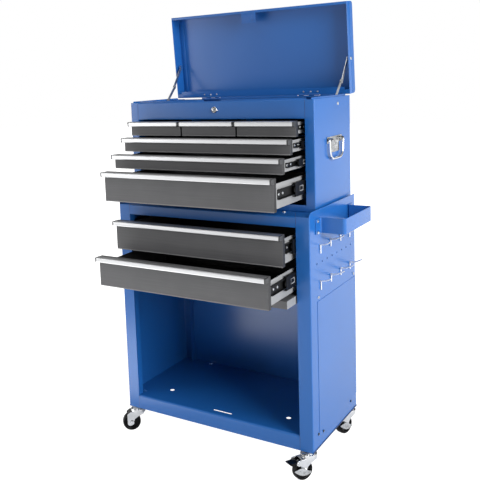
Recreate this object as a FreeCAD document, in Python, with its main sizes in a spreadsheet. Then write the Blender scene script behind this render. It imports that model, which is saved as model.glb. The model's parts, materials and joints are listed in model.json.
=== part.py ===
import FreeCAD, Part
import math
import os
import Sketcher

# Two-box tool chest on casters. Millimetres, +Z up, cabinet front faces -Y.
# The pieces are drawn about the front centre of the cabinet's underside and shifted to the floor.
Vector = FreeCAD.Vector
doc = FreeCAD.newDocument("ToolChest")
sheet = doc.addObject("Spreadsheet::Sheet", "Sizes")

driving = {
    "shift_x": -21.735, "shift_y": -90.96, "shift_z": 70.0,
    "skin": 1.2, "bend": 2.5,
    "cab_width": 560, "cab_depth": 302.5, "cab_height": 596, "cab_post": 35, "cab_return": 20,
    "floor_level": 38.5, "rail_low": 559, "deck_level": 585, "panel_seam": 371.5,
    "chest_width": 541, "chest_front": 62, "chest_back": 302, "chest_top": 858, "chest_post": 24,
    "chest_return": 24, "sill_top": 602, "fascia_low": 811.6, "till_level": 813, "rim_height": 4,
    "rim_inset": 7.2,
    "hinge_y": 302, "hinge_z": 862.5, "lid_swing": 85.4, "lid_depth": 239, "lid_height": 40,
    "lid_overhang": 1.5, "lid_bend": 10, "lid_sheet": 1.0,
    "stay_y": 214, "stay_z": 840.8, "low_link": 77.6, "high_link": 72.3, "low_angle": 44.84,
    "high_angle": 234.0, "stay_x": 258.4, "link_width": 11, "link_sheet": 1.8,
    "front_half": 241.5, "box_half": 232.3, "front_thick": 12, "tray_sheet": 1.0,
    "chest_tray_depth": 228, "cab_tray_depth": 288, "small_gap": 4,
    "chest_slide": 204, "cab_slide": 270, "deep_slide": 45, "thin_slide": 25,
    "pull_reach": 16, "pull_tall": 12, "pull_wall": 1.6, "pull_half": 240,
    "door_half": 241.5, "door_pin_y": 291, "door_pin_z": 381, "door_long": 340, "door_above": 11,
    "door_below": 8.3, "pin_radius": 3, "roller_radius": 7,
    "handle_low": 537.5, "handle_tall": 37.5, "handle_reach": 344, "handle_front": 63,
    "handle_rear": 251, "handle_strip": 2, "handle_bend": 8,
    "bail_y": 186, "bail_z": 753, "bail_stand": 6.5, "bail_wire": 3, "bail_half": 46, "bail_drop": 47,
    "lock_x": -2.3, "lock_z": 836.4,
    "hook_wire": 1.5, "wheel_radius": 25.4, "wheel_width": 21, "trail": 20, "axle_z": -44.6,
    "caster_x": 261, "caster_front": 14, "caster_rear": 288, "head_radius": 20.5,
}
for row, (alias, value) in enumerate(driving.items(), 1):
    sheet.set("A%d" % row, alias)
    sheet.set("B%d" % row, str(value))
    sheet.setAlias("B%d" % row, alias)
doc.recompute()


# A size carries its number and the spreadsheet formula that gives it, so that plain arithmetic
# in this file becomes an expression in the document.
class Size:
    def __init__(self, value, text):
        self.value = float(value)
        self.text = text

    def mixed(self, other, sign, number):
        other = size(other)
        return Size(number(self.value, other.value), "(%s %s %s)" % (self.text, sign, other.text))

    def __add__(self, other):
        return self.mixed(other, "+", lambda a, b: a + b)

    def __sub__(self, other):
        return self.mixed(other, "-", lambda a, b: a - b)

    def __mul__(self, other):
        return self.mixed(other, "*", lambda a, b: a * b)

    def __truediv__(self, other):
        return self.mixed(other, "/", lambda a, b: a / b)

    def __radd__(self, other):
        return size(other) + self

    def __rsub__(self, other):
        return size(other) - self

    def __rmul__(self, other):
        return size(other) * self

    def __neg__(self):
        return self * -1

    def __float__(self):
        return self.value


def size(value):
    return value if isinstance(value, Size) else Size(value, "%.6f" % value)


def cell(alias):
    return Size(sheet.get(alias), "Sizes." + alias)


def number(value):
    return float(size(value))


# Sketches: every corner is pinned to the origin by formulas, and a corner with a radius becomes
# an arc tangent to the two sides that meet there.
def pin(geometry, end, across, along, rules, formulas):
    for kind, axis, value in (("DistanceX", -2, across), ("DistanceY", -1, along)):
        value = size(value)
        if abs(value.value) < 1e-9:
            rules.append(Sketcher.Constraint("PointOnObject", geometry, end, axis))
        else:
            formulas.append((len(rules), value.text))
            rules.append(Sketcher.Constraint(kind, -1, 1, geometry, end, value.value))


def draw_circle(sketch, circle, rules, formulas):
    across, along, radius = circle[1:]
    index = sketch.GeometryCount
    sketch.addGeometry(Part.Circle(Vector(number(across), number(along), 0), Vector(0, 0, 1), number(radius)))
    pin(index, 3, across, along, rules, formulas)
    formulas.append((len(rules), size(radius).text))
    rules.append(Sketcher.Constraint("Radius", index, number(radius)))


def draw_line_loop(sketch, points, closed, rules, formulas):
    rounded = any(len(point) > 2 for point in points)
    spots = [Vector(number(point[0]), number(point[1]), 0) for point in points]
    count = len(points)
    sides = count if closed else count - 1
    guide = sketch.GeometryCount
    sketch.addGeometry([Part.LineSegment(spots[i], spots[(i + 1) % count]) for i in range(sides)], rounded)
    for i in range(sides):
        pin(guide + i, 1, points[i][0], points[i][1], rules, formulas)
        if closed or i < sides - 1:
            rules.append(Sketcher.Constraint("Coincident", guide + i, 2, guide + (i + 1) % count, 1))
    if not closed:
        pin(guide + sides - 1, 2, points[-1][0], points[-1][1], rules, formulas)
    if not rounded:
        return
    ways = [(spots[(i + 1) % count] - spots[i]).normalize() for i in range(sides)]
    trims = [0.0] * count
    for i in range(count):
        if len(points[i]) > 2 and (closed or 0 < i < count - 1):
            turn = ways[i - 1].getAngle(ways[i])
            trims[i] = number(points[i][2]) * math.tan(turn / 2)
    real = sketch.GeometryCount
    for i in range(sides):
        after = (i + 1) % count
        sketch.addGeometry(Part.LineSegment(spots[i] + ways[i] * trims[i], spots[after] - ways[i] * trims[after]))
        for end, corner, guide_end in ((1, i, 1), (2, after, 2)):
            if trims[corner]:
                rules.append(Sketcher.Constraint("PointOnObject", real + i, end, guide + i))
            else:
                rules.append(Sketcher.Constraint("Coincident", real + i, end, guide + i, guide_end))
    for i in range(count):
        if not trims[i]:
            continue
        radius = size(points[i][2])
        before, after = ways[i - 1], ways[i]
        left = before.x * after.y - before.y * after.x > 0
        inward = Vector(-before.y, before.x, 0) * (1 if left else -1)
        centre = spots[i] - before * trims[i] + inward * radius.value
        entry, leave = spots[i] - before * trims[i] - centre, spots[i] + after * trims[i] - centre
        start, stop = (entry, leave) if left else (leave, entry)
        begin, finish = math.atan2(start.y, start.x), math.atan2(stop.y, stop.x)
        arc = sketch.GeometryCount
        circle = Part.Circle(centre, Vector(0, 0, 1), radius.value)
        sketch.addGeometry(Part.ArcOfCircle(circle, begin, finish if finish > begin else finish + 2 * math.pi))
        previous = real + (i - 1) % sides
        rules.append(Sketcher.Constraint("Tangent", previous, 2, arc, 1 if left else 2))
        rules.append(Sketcher.Constraint("Tangent", real + i, 1, arc, 2 if left else 1))
        formulas.append((len(rules), radius.text))
        rules.append(Sketcher.Constraint("Radius", arc, radius.value))


def draw(body, name, plane, offset, loops, closed=True):
    sketch = body.newObject("Sketcher::SketchObject", name)
    origin_plane = [part for part in body.Origin.OriginFeatures if part.Role == plane + "_Plane"][0]
    sketch.AttachmentSupport = [(origin_plane, "")]
    sketch.MapMode = "FlatFace"
    offset = size(offset)
    sketch.AttachmentOffset = FreeCAD.Placement(Vector(0, 0, offset.value), FreeCAD.Rotation())
    sketch.setExpression("AttachmentOffset.Base.z", offset.text)
    rules, formulas = [], []
    for loop in loops:
        if loop[0] == "circle":
            draw_circle(sketch, loop, rules, formulas)
        else:
            draw_line_loop(sketch, loop, closed, rules, formulas)
    sketch.addConstraint(rules)
    for index, text in formulas:
        sketch.setExpression("Constraints[%d]" % index, text)
    return sketch


def rect(low_across, high_across, low_along, high_along):
    return [(low_across, low_along), (high_across, low_along), (high_across, high_along), (low_across, high_along)]


# A bent sheet: the points follow one face along right-angled runs, the other face lies to the
# left (side 1) or right (side -1) of the way they run.
def bent_sheet(points, thick, side=1):
    spots = [(number(point[0]), number(point[1])) for point in points]
    ways = []
    for (x0, y0), (x1, y1) in zip(spots, spots[1:]):
        long = max(abs(x1 - x0), abs(y1 - y0))
        ways.append((round((x1 - x0) / long), round((y1 - y0) / long)))
    inner = []
    for i, point in enumerate(points):
        near = [ways[k] for k in (i - 1, i) if 0 <= k < len(ways)]
        step_x = sum(-way[1] for way in near) * side
        step_y = sum(way[0] for way in near) * side
        across = point[0] + thick * step_x if step_x else point[0]
        along = point[1] + thick * step_y if step_y else point[1]
        if len(point) == 2:
            inner.append((across, along))
            continue
        turn = (near[0][0] * near[1][1] - near[0][1] * near[1][0]) * side
        inner.append((across, along, point[2] - thick if turn > 0 else point[2] + thick))
    return list(points) + inner[::-1]


def new_body(name):
    return doc.addObject("PartDesign::Body", name)


def extrude(body, name, plane, loops, start, end, cut=False):
    start, end = size(start), size(end)
    sketch = draw(body, name + "_sketch", plane, -start if plane == "XZ" else start, loops)
    feature = body.newObject("PartDesign::Pocket" if cut else "PartDesign::Pad", name)
    feature.Profile = sketch
    feature.setExpression("Length", (end - start).text)
    feature.Reversed = (plane == "XZ") != cut
    sketch.Visibility = False
    return feature


def block(body, name, x_span, y_span, z_span, cut=False):
    return extrude(body, name, "XY", [rect(*x_span, *y_span)], *z_span, cut=cut)


def spin(body, name, loops, axis="V_Axis", plane="XZ"):
    feature_sketch = draw(body, name + "_sketch", plane, 0, loops)
    feature = body.newObject("PartDesign::Revolution", name)
    feature.Profile = feature_sketch
    feature.ReferenceAxis = (feature_sketch, [axis])
    feature.Angle = 360
    return feature


def wire(body, name, plane, offset, path, profile_plane, profile_offset, loop):
    spine = draw(body, name + "_path", plane, offset, [path], closed=False)
    section = draw(body, name + "_section", profile_plane, profile_offset, [loop])
    feature = body.newObject("PartDesign::AdditivePipe", name)
    feature.Profile = section
    feature.Spine = (spine, [])
    feature.Transition = "Right corner"
    return feature


def soften(body, name, radius, wanted):
    doc.recompute()
    base = body.Tip
    edges = []
    for index, edge in enumerate(base.Shape.Edges, 1):
        middle = edge.valueAt((edge.FirstParameter + edge.LastParameter) / 2)
        if wanted(edge, middle):
            edges.append("Edge%d" % index)
    if not edges:
        raise RuntimeError("no edge found for " + name)
    feature = body.newObject("PartDesign::Fillet", name)
    feature.Base = (base, edges)
    feature.setExpression("Radius", size(radius).text)
    return feature


def close(value, target, reach=0.05):
    return abs(value - number(target)) < reach


def cylinder(name, centre, radius, length, way):
    part = doc.addObject("Part::Cylinder", name)
    part.setExpression("Radius", size(radius).text)
    part.setExpression("Height", size(length).text)
    part.Placement = FreeCAD.Placement(Vector(*[number(value) for value in centre]),
                                       FreeCAD.Rotation(Vector(0, 0, 1), Vector(*way)))
    for axis, value in zip("xyz", centre):
        part.setExpression("Placement.Base." + axis, size(value).text)
    return part


def mirrored(name, source):
    copy = doc.addObject("Part::Mirroring", name)
    copy.Source = source
    copy.Normal = Vector(1, 0, 0)
    return copy


nodes = {}


def place(node, items, x=0, y=0, z=0, way=(0, 0, 1), angle=0):
    item = items[0]
    if len(items) > 1:
        item = doc.addObject("Part::Compound", node + "_set")
        item.Links = items
    item.Label = node
    item.Placement = FreeCAD.Placement(Vector(), FreeCAD.Rotation(Vector(*way), number(angle)))
    item.setExpression("Placement.Base.x", (size(x) + cell("shift_x")).text)
    item.setExpression("Placement.Base.y", (size(y) + cell("shift_y")).text)
    item.setExpression("Placement.Base.z", (size(z) + cell("shift_z")).text)
    if number(angle):
        item.setExpression("Placement.Rotation.Angle", size(angle).text)
    nodes[node] = item


skin = cell("skin")
bend = cell("bend")
cab_half = cell("cab_width") / 2
cab_depth = cell("cab_depth")
cab_height = cell("cab_height")
cab_open = cab_half - cell("cab_post")
deck = cell("deck_level")
floor_top = cell("floor_level")
chest_half = cell("chest_width") / 2
chest_front = cell("chest_front")
chest_back = cell("chest_back")
chest_top = cell("chest_top")
chest_open = chest_half - cell("chest_post")
till = cell("till_level")
rim_top = chest_top + cell("rim_height")
rim_x = chest_half - cell("rim_inset")

# Lower cabinet walls: one folded sheet each, wrapped round the front and the back into a post.
pin_y = cell("door_pin_y")
pin_z = cell("door_pin_z")
notch = (pin_z - 9, pin_z + 9)
hook_rows = (508, 418)
hook_places = (60, 126, 192, 258)
peg_holes = [41 + 32.4 * step for step in range(8)]


def cabinet_wall(name, side):
    wall = new_body(name)
    path = [(side * cab_open, cell("cab_return")), (side * cab_open, 0), (side * cab_half, 0, bend),
            (side * cab_half, cab_depth, bend), (side * cab_open, cab_depth),
            (side * cab_open, cab_depth - cell("cab_return"))]
    extrude(wall, name + "_sheet", "XY", [bent_sheet(path, skin, side)], 0, cab_height)
    inner, outer = sorted((side * (cab_open - 2), side * (cab_half - skin)), key=number)
    block(wall, name + "_lip", (inner, outer), (-1, cab_depth + 1), (deck - skin, cab_height + 1), cut=True)
    lip = [(-1, cab_height + 1), (-1, cab_height - 14), (0, cab_height - 14), (0, cab_height, 12), (24, cab_height),
           (24, cab_height + 1)]
    low, high = sorted((side * (cab_half - 6), side * (cab_half + 1)), key=number)
    extrude(wall, name + "_corner", "YZ", [lip], low, high, cut=True)
    low, high = sorted((side * (cab_open - 1), side * (cab_open + 2)), key=number)
    for end, span in (("front", (skin, cell("cab_return") + 1)), ("rear", (cab_depth - cell("cab_return") - 1,
                                                                           cab_depth - skin))):
        block(wall, name + "_" + end + "_notch", (low, high), span, notch, cut=True)
        block(wall, name + "_" + end + "_foot", (low, high), span, (-1, floor_top), cut=True)
    return wall


left_wall = cabinet_wall("left_wall", -1)
place("cabinet_left_wall", [left_wall])
right_wall = cabinet_wall("right_wall", 1)
holes = [rect(y - 2.2, y + 2.2, 462.5, 466.9) for y in peg_holes]
holes += [rect(y - 2.1, y + 2.1, z - 2.1, z + 2.1) for y in hook_places for z in hook_rows]
extrude(right_wall, "peg_holes", "YZ", holes, cab_half - 3, cab_half + 1, cut=True)
access = new_body("access")
block(access, "access_sheet", (cab_half, cab_half + 0.8), (40, cab_depth - 1.5), (39, cell("panel_seam")))
place("cabinet_right_wall", [right_wall, access])

back = new_body("cabinet_back")
block(back, "cabinet_back_sheet", (-cab_open, cab_open), (cab_depth - skin, cab_depth), (0, deck - skin))
place("cabinet_back_panel", [back])

# Floor pan: an inverted tray between the walls, its front edge rolled over the sill.
floor = new_body("floor")
sill = [(0, 0), (0, floor_top, 6), (cab_depth - skin, floor_top), (cab_depth - skin, 0)]
extrude(floor, "floor_fold", "YZ", [bent_sheet(sill, skin, -1)], -cab_open, cab_open)
for side in (-1, 1):
    low, high = sorted((side * cab_open, side * (cab_half - skin)), key=number)
    name = "floor_%s" % ("left" if side < 0 else "right")
    block(floor, name, (low, high), (skin + 1.3, cab_depth - skin - 1.3), (floor_top - skin - 0.3, floor_top - 0.3))
    low, high = sorted((side * (cab_half - skin * 2), side * (cab_half - skin)), key=number)
    block(floor, name + "_flange", (low, high), (skin + 1.3, cab_depth - skin - 1.3), (0, floor_top - 0.3))
bolts = [("circle", x, y, 6.5) for x in (-181, 181) for y in (74, 290)]
extrude(floor, "floor_holes", "XY", bolts + [rect(-13.5, 41.5, 20, 26)], floor_top - 2, floor_top + 1, cut=True)
place("floor_pan", [floor])

# Deck that carries the chest, with the rail that closes the cabinet's front.
deck_body = new_body("deck")
rail = [(14, cell("rail_low")), (0, cell("rail_low")), (0, deck, 3), (cab_depth - skin, deck)]
extrude(deck_body, "deck_fold", "YZ", [bent_sheet(rail, skin, -1)], -cab_open, cab_open)
for side in (-1, 1):
    low, high = sorted((side * cab_open, side * (cab_half - skin)), key=number)
    block(deck_body, "deck_side%d" % (side + 1), (low, high), (0, cab_depth), (deck - skin, deck))
place("cabinet_deck", [deck_body])

# Push handle: a flat strip bent into a square bracket, flanges turned outwards on the wall.
handle = new_body("handle")
strip = cell("handle_strip")
curve = cell("handle_bend")
grip = cell("handle_reach")
front_arm, rear_arm = cell("handle_front"), cell("handle_rear")
bracket = [(cab_half + strip, front_arm - 29), (cab_half + strip, front_arm, 4), (grip, front_arm, curve),
           (grip, rear_arm, curve), (cab_half + strip, rear_arm, 4), (cab_half + strip, rear_arm + 30)]
extrude(handle, "handle_strip", "XY", [bent_sheet(bracket, strip, 1)], cell("handle_low"),
        cell("handle_low") + cell("handle_tall"))
place("push_handle", [handle])

def six_sided(across, along, radius):
    turns = [math.radians(turn) for turn in range(0, 360, 60)]
    return [(across + radius * math.cos(turn), along + radius * math.sin(turn)) for turn in turns]


# Wire hooks hung in the wall's holes; their thin wire is drawn six-sided.
hooks = []
for row, z in enumerate(hook_rows):
    for count, y in enumerate(hook_places):
        hook = new_body("hook")
        reach = cab_half + 2.1
        thin = cell("hook_wire")
        single = (row, count) in ((0, 0), (0, 3), (1, 0))
        drop = 21 if single else 17
        line = [(cab_half - 4, z), (reach, z), (reach, z - drop)]
        wire(hook, "hook_leg", "XZ", -y, line, "YZ", cab_half - 4, six_sided(y, z, thin))
        if not single:
            bar = [("circle", reach, z, thin - 0.1)]
            extrude(hook, "hook_bar", "XZ", bar, y - 6, y + 6)
        for place_y in (y,) if single else (y - 5, y + 5):
            line = [(reach - 0.4, z), (cab_half + 18, z + 3), (cab_half + (26 if single else 34), z + (8 if single else 11))]
            wire(hook, "hook_arm", "XZ", -place_y, line, "YZ", reach - 0.4, six_sided(place_y, z, thin - 0.2))
        hooks.append(hook)
place("side_hooks", hooks)

# Chest walls, folded like the cabinet's, with a shoulder and a low rim on top.
def chest_wall(name, side):
    wall = new_body(name)
    path = [(side * chest_open, chest_front + cell("chest_return")), (side * chest_open, chest_front),
            (side * chest_half, chest_front, bend), (side * chest_half, chest_back, bend),
            (side * chest_open, chest_back), (side * chest_open, chest_back - cell("chest_return"))]
    extrude(wall, name + "_sheet", "XY", [bent_sheet(path, skin, side)], deck, chest_top)
    low, high = sorted((side * (chest_open - 1), side * (chest_half - skin)), key=number)
    block(wall, name + "_till", (low, high), (chest_front + skin, chest_back - skin),
          (cell("fascia_low"), chest_top + 1), cut=True)
    shoulder = [(side * (chest_half - skin / 2), chest_top), (side * rim_x, chest_top), (side * rim_x, rim_top)]
    extrude(wall, name + "_rim", "XZ", [bent_sheet(shoulder, 1.0, side)], chest_front + bend, chest_back - 14)
    return wall


place("chest_left_wall", [chest_wall("chest_left", -1)])
place("chest_right_wall", [chest_wall("chest_right", 1)])

chest_rear = new_body("chest_rear")
rear_fold = [(chest_back, deck), (chest_back, chest_top - 1, 1.6), (chest_back - 12, chest_top - 1)]
extrude(chest_rear, "chest_rear_sheet", "YZ", [bent_sheet(rear_fold, skin, 1)], -chest_open, chest_open)
# The upstand that closes the slit under the hinge line, lower where the knuckles turn.
upstand = (chest_back - skin, chest_back)
block(chest_rear, "upstand_low", (-185, chest_open), upstand, (chest_top - 4, chest_top + 1.8))
block(chest_rear, "upstand_middle", (-122, 122), upstand, (chest_top, chest_top + 3.4))
block(chest_rear, "upstand_right", (188, 255), upstand, (chest_top, chest_top + 3.4))
place("chest_back_panel", [chest_rear])

# Bottom, shelf under the small drawers with its two dividers, and the floor of the till.
bottom = new_body("bottom")
lip = [(chest_front, cell("sill_top")), (chest_front, deck, 2), (chest_back - skin, deck)]
extrude(bottom, "bottom_sheet", "YZ", [bent_sheet(lip, skin, 1)], -chest_open, chest_open)
shelf = new_body("shelf")
shelf_z = size(769.9)
block(shelf, "shelf_sheet", (-chest_open, chest_open), (chest_front + 16, chest_back - skin), (shelf_z, shelf_z + 1))
divider_x = cell("front_half") / 3 + cell("small_gap") / 6
for side in (-1, 1):
    low, high = sorted((side * divider_x - 0.6, side * divider_x + 0.6), key=number)
    block(shelf, "divider%d" % (side + 1), (low, high), (chest_front + 16, chest_back - skin), (shelf_z, till - skin))
till_floor = new_body("till_floor")
block(till_floor, "till_sheet", (-chest_half + skin, chest_half - skin), (chest_front + skin + 12, chest_back - skin),
      (till - skin, till))
place("chest_shelves", [bottom, shelf, till_floor])

# Fascia with the lock: folded at the bottom, shoulder and rim at the top.
fascia = new_body("fascia")
face = [(chest_front + 12, cell("fascia_low")), (chest_front, cell("fascia_low"), 2), (chest_front, chest_top, 2.5),
        (chest_front + 9, chest_top), (chest_front + 9, rim_top)]
extrude(fascia, "fascia_sheet", "YZ", [bent_sheet(face, 1.0, -1)], -chest_open, chest_open)
lock_x, lock_z = cell("lock_x"), cell("lock_z")
extrude(fascia, "lock_hole", "XZ", [("circle", lock_x, lock_z, 8.2)], chest_front - 1, chest_front + 3, cut=True)
block(fascia, "strike_gap", (-40, 12), (chest_front + 6, chest_front + 10), (chest_top, rim_top + 1), cut=True)
place("lock_fascia", [fascia])

# Lock housing and its plug with the hooked cam.
housing = new_body("housing")
outline = [(6.05, -2.5), (8.8, -2.5), (10, -1.3), (10, 0), (8, 0), (8, 1), (12, 1), (12, 5), (8, 5), (8, 22), (6.05, 22)]
spin(housing, "housing_turned", [outline], "V_Axis", "XY")
place("lock_housing", [housing], x=lock_x, y=chest_front, z=lock_z)

plug = new_body("plug")
extrude(plug, "plug_core", "XZ", [("circle", 0, 0, 6)], -2, 29)
extrude(plug, "keyway", "XZ", [rect(-0.7, 0.7, -3.6, 3.6)], -3, 4, cut=True)
cam = [(-6, -6), (-6, 6), (27.4, 6), (27.4, 14), (31, 14), (31, -6)]
extrude(plug, "cam", "XZ", [cam], 29, 31)
place("lock_plug", [plug], x=lock_x, y=chest_front, z=lock_z)

# Lid, drawn closed about the hinge line and then turned open.
lid = new_body("lid")
lid_rear = cell("lid_overhang")
lid_front = lid_rear - cell("lid_depth")
lid_high = cell("lid_height")
lid_sheet = cell("lid_sheet")
lid_bend = cell("lid_bend")
shell = [(lid_rear - 19, 0), (lid_rear, 0, 2), (lid_rear, lid_high, lid_bend), (lid_front, lid_high, lid_bend),
         (lid_front, 0, 2), (lid_front + 7, 0)]
extrude(lid, "lid_fold", "YZ", [bent_sheet(shell, lid_sheet, 1)], -chest_half + 1, chest_half - 1)
outline = [(lid_rear, 0, 2), (lid_rear, lid_high, lid_bend), (lid_front, lid_high, lid_bend), (lid_front, 0, 2)]
lap = [(lid_rear, 20), (lid_rear, lid_high, lid_bend), (lid_front, lid_high, lid_bend), (lid_front, 20)]
for side in (-1, 1):
    low, high = sorted((side * (chest_half - 1), side * chest_half), key=number)
    extrude(lid, "lid_end%d" % (side + 1), "YZ", [outline], low, high)
    low, high = sorted((side * (chest_half - 0.5), side * (chest_half + 0.6)), key=number)
    extrude(lid, "lid_lap%d" % (side + 1), "YZ", [lap], low, high)
    low, high = sorted((side * 123, side * 187), key=number)
    extrude(lid, "lid_notch%d" % (side + 1), "YZ", [("circle", 0, 0, 3.2)], low, high, cut=True)
    low, high = sorted((side * 256, side * (chest_half - 1)), key=number)
    block(lid, "lid_relief%d" % (side + 1), (low, high), (lid_rear - 20, lid_rear - 12), (-1, lid_sheet + 0.5), cut=True)
swing = -cell("lid_swing")
hinge_y, hinge_z = cell("hinge_y"), cell("hinge_z")
place("lid_shell", [lid], y=hinge_y, z=hinge_z, way=(1, 0, 0), angle=swing)

# Hinges: leaves with rolled knuckles, pin on the chest's side.
leaf_spans = ((125, 140), (155, 170))
lid_spans = ((140.3, 154.7), (170.3, 185))
chest_leaves, lid_leaves = [], []
for side in (-1, 1):
    leaf = new_body("chest_leaf")
    low, high = sorted((side * 125, side * 185), key=number)
    block(leaf, "leaf_plate", (low, high), (chest_back, chest_back + 1.2), (hinge_z - 20, hinge_z - 4))
    for start, end in leaf_spans:
        low, high = sorted((side * start, side * end), key=number)
        block(leaf, "leaf_neck", (low, high), (chest_back, chest_back + 1.2), (hinge_z - 4, hinge_z - 1))
        extrude(leaf, "leaf_knuckle", "YZ", [("circle", hinge_y, hinge_z, 2.4)], low, high)
    low, high = sorted((side * 125, side * 185), key=number)
    extrude(leaf, "leaf_pin", "YZ", [("circle", hinge_y, hinge_z, 1.2)], low, high)
    chest_leaves.append(leaf)
    leaf = new_body("lid_leaf")
    low, high = sorted((side * 125, side * 185), key=number)
    block(leaf, "lid_leaf_plate", (low, high), (-17, -3.6), (lid_sheet, lid_sheet + 1.2))
    for start, end in lid_spans:
        low, high = sorted((side * start, side * end), key=number)
        block(leaf, "lid_leaf_neck", (low, high), (-3.8, 0), (lid_sheet, lid_sheet + 1.2))
        extrude(leaf, "lid_leaf_knuckle", "YZ", [("circle", 0, 0, 2.4)], low, high)
        extrude(leaf, "lid_leaf_bore", "YZ", [("circle", 0, 0, 1.25)], low, high, cut=True)
    lid_leaves.append(leaf)
place("hinge_leaves", chest_leaves)

# Strike tab: a flat plate under the lid's front flange, slotted from one end for the cam's hook.
strike = new_body("strike")
block(strike, "strike_plate", (-36, 8), (lid_front + 1, lid_front + 34), (-1.2, 0))
cam_back = chest_front - hinge_y
block(strike, "strike_slot", (-9.4, 9), (cam_back + 28.3, cam_back + 31.7), (-2, 1), cut=True)
lid_items = lid_leaves + [strike]
for side in (-1, 1):
    for start in (134, 154, 175) if side < 0 else (140, 161, 181):
        lid_items.append(cylinder("lid_rivet", (side * start, -7.5, -1.0), 2.2, 1.0, (0, 0, 1)))

# Lid stays: two flat links on each side, joined at the middle, each with its own plane.
stay_x = cell("stay_x")
link_sheet = cell("link_sheet")
link_round = cell("link_width") / 2


def link(name, side, inner, length):
    body = new_body(name)
    low, high = sorted((side * inner, side * (inner + link_sheet)), key=number)
    bar = rect(0, length, -link_round + 1.5, link_round - 1.5)
    extrude(body, name + "_bar", "YZ", [bar], low, high)
    for end in (0, length):
        extrude(body, name + "_eye", "YZ", [("circle", end, 0, link_round)], low, high)
    extrude(body, name + "_hole", "YZ", [("circle", 0, 0, 2.6)], low, high, cut=True)
    return body


pivot_y, pivot_z = cell("stay_y"), cell("stay_z")
low_x, high_x = stay_x, stay_x + link_sheet + 0.4
lean = math.radians(number(swing))
middle_y = number(pivot_y) + number(cell("low_link")) * math.cos(math.radians(number(cell("low_angle"))))
middle_z = number(pivot_z) + number(cell("low_link")) * math.sin(math.radians(number(cell("low_angle"))))
top_y = middle_y - number(cell("high_link")) * math.cos(math.radians(number(cell("high_angle"))))
top_z = middle_z - number(cell("high_link")) * math.sin(math.radians(number(cell("high_angle"))))
# The lid's pivot seen from the hinge line with the lid closed.
arm_y, arm_z = top_y - number(hinge_y), top_z - number(hinge_z)
closed_y = arm_y * math.cos(-lean) - arm_z * math.sin(-lean)
closed_z = arm_y * math.sin(-lean) + arm_z * math.cos(-lean)
chest_pivots = []
for side, word in ((-1, "left"), (1, "right")):
    low = link("low_link_" + word, side, low_x, cell("low_link"))
    button = sorted((side * (low_x - 1.2), side * (low_x + link_sheet * 0.5)), key=number)
    extrude(low, "middle_button", "YZ", [("circle", cell("low_link"), 0, 3.4)], *button)
    place("stay_low_" + word, [low], y=pivot_y, z=pivot_z, way=(1, 0, 0), angle=cell("low_angle"))
    high = link("high_link_" + word, side, high_x, cell("high_link"))
    place("stay_high_" + word, [high], y=top_y, z=top_z, way=(1, 0, 0), angle=cell("high_angle"))
    pivot = new_body("chest_pivot")
    spans = ((low_x - 1.5, low_x - 0.1, 4), (low_x - 1.5, chest_half + 1.2, 2.5), (low_x + link_sheet + 0.1, chest_half - skin, 4.4),
             (chest_half, chest_half + 1.2, 4))
    for start, end, radius in spans:
        ends = sorted((side * start, side * end), key=number)
        extrude(pivot, "chest_pivot_step", "YZ", [("circle", pivot_y, pivot_z, radius)], *ends)
    chest_pivots.append(pivot)
    pivot = new_body("lid_pivot")
    spans = ((high_x - 0.3, high_x - 0.1, 3.4), (high_x - 0.3, chest_half + 1.2, 2.5),
             (high_x + link_sheet + 0.1, chest_half - 1, 4.4), (chest_half + 0.6, chest_half + 1.2, 4))
    for start, end, radius in spans:
        ends = sorted((side * start, side * end), key=number)
        extrude(pivot, "lid_pivot_step", "YZ", [("circle", closed_y, closed_z, radius)], *ends)
    lid_items.append(pivot)
    ends = sorted((side * (chest_half - 2), side * (chest_half + 2)), key=number)
    extrude(lid, "lid_pivot_hole%d" % (side + 1), "YZ", [("circle", closed_y, closed_z, 2.5)], *ends, cut=True)
for side, name in ((-1, "chest_left"), (1, "chest_right")):
    wall = doc.getObject(name)
    ends = sorted((side * (chest_half - 2), side * (chest_half + 2)), key=number)
    extrude(wall, name + "_pivot_hole", "YZ", [("circle", pivot_y, pivot_z, 2.5)], *ends, cut=True)
place("lid_hardware", lid_items, y=hinge_y, z=hinge_z, way=(1, 0, 0), angle=swing)

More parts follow.
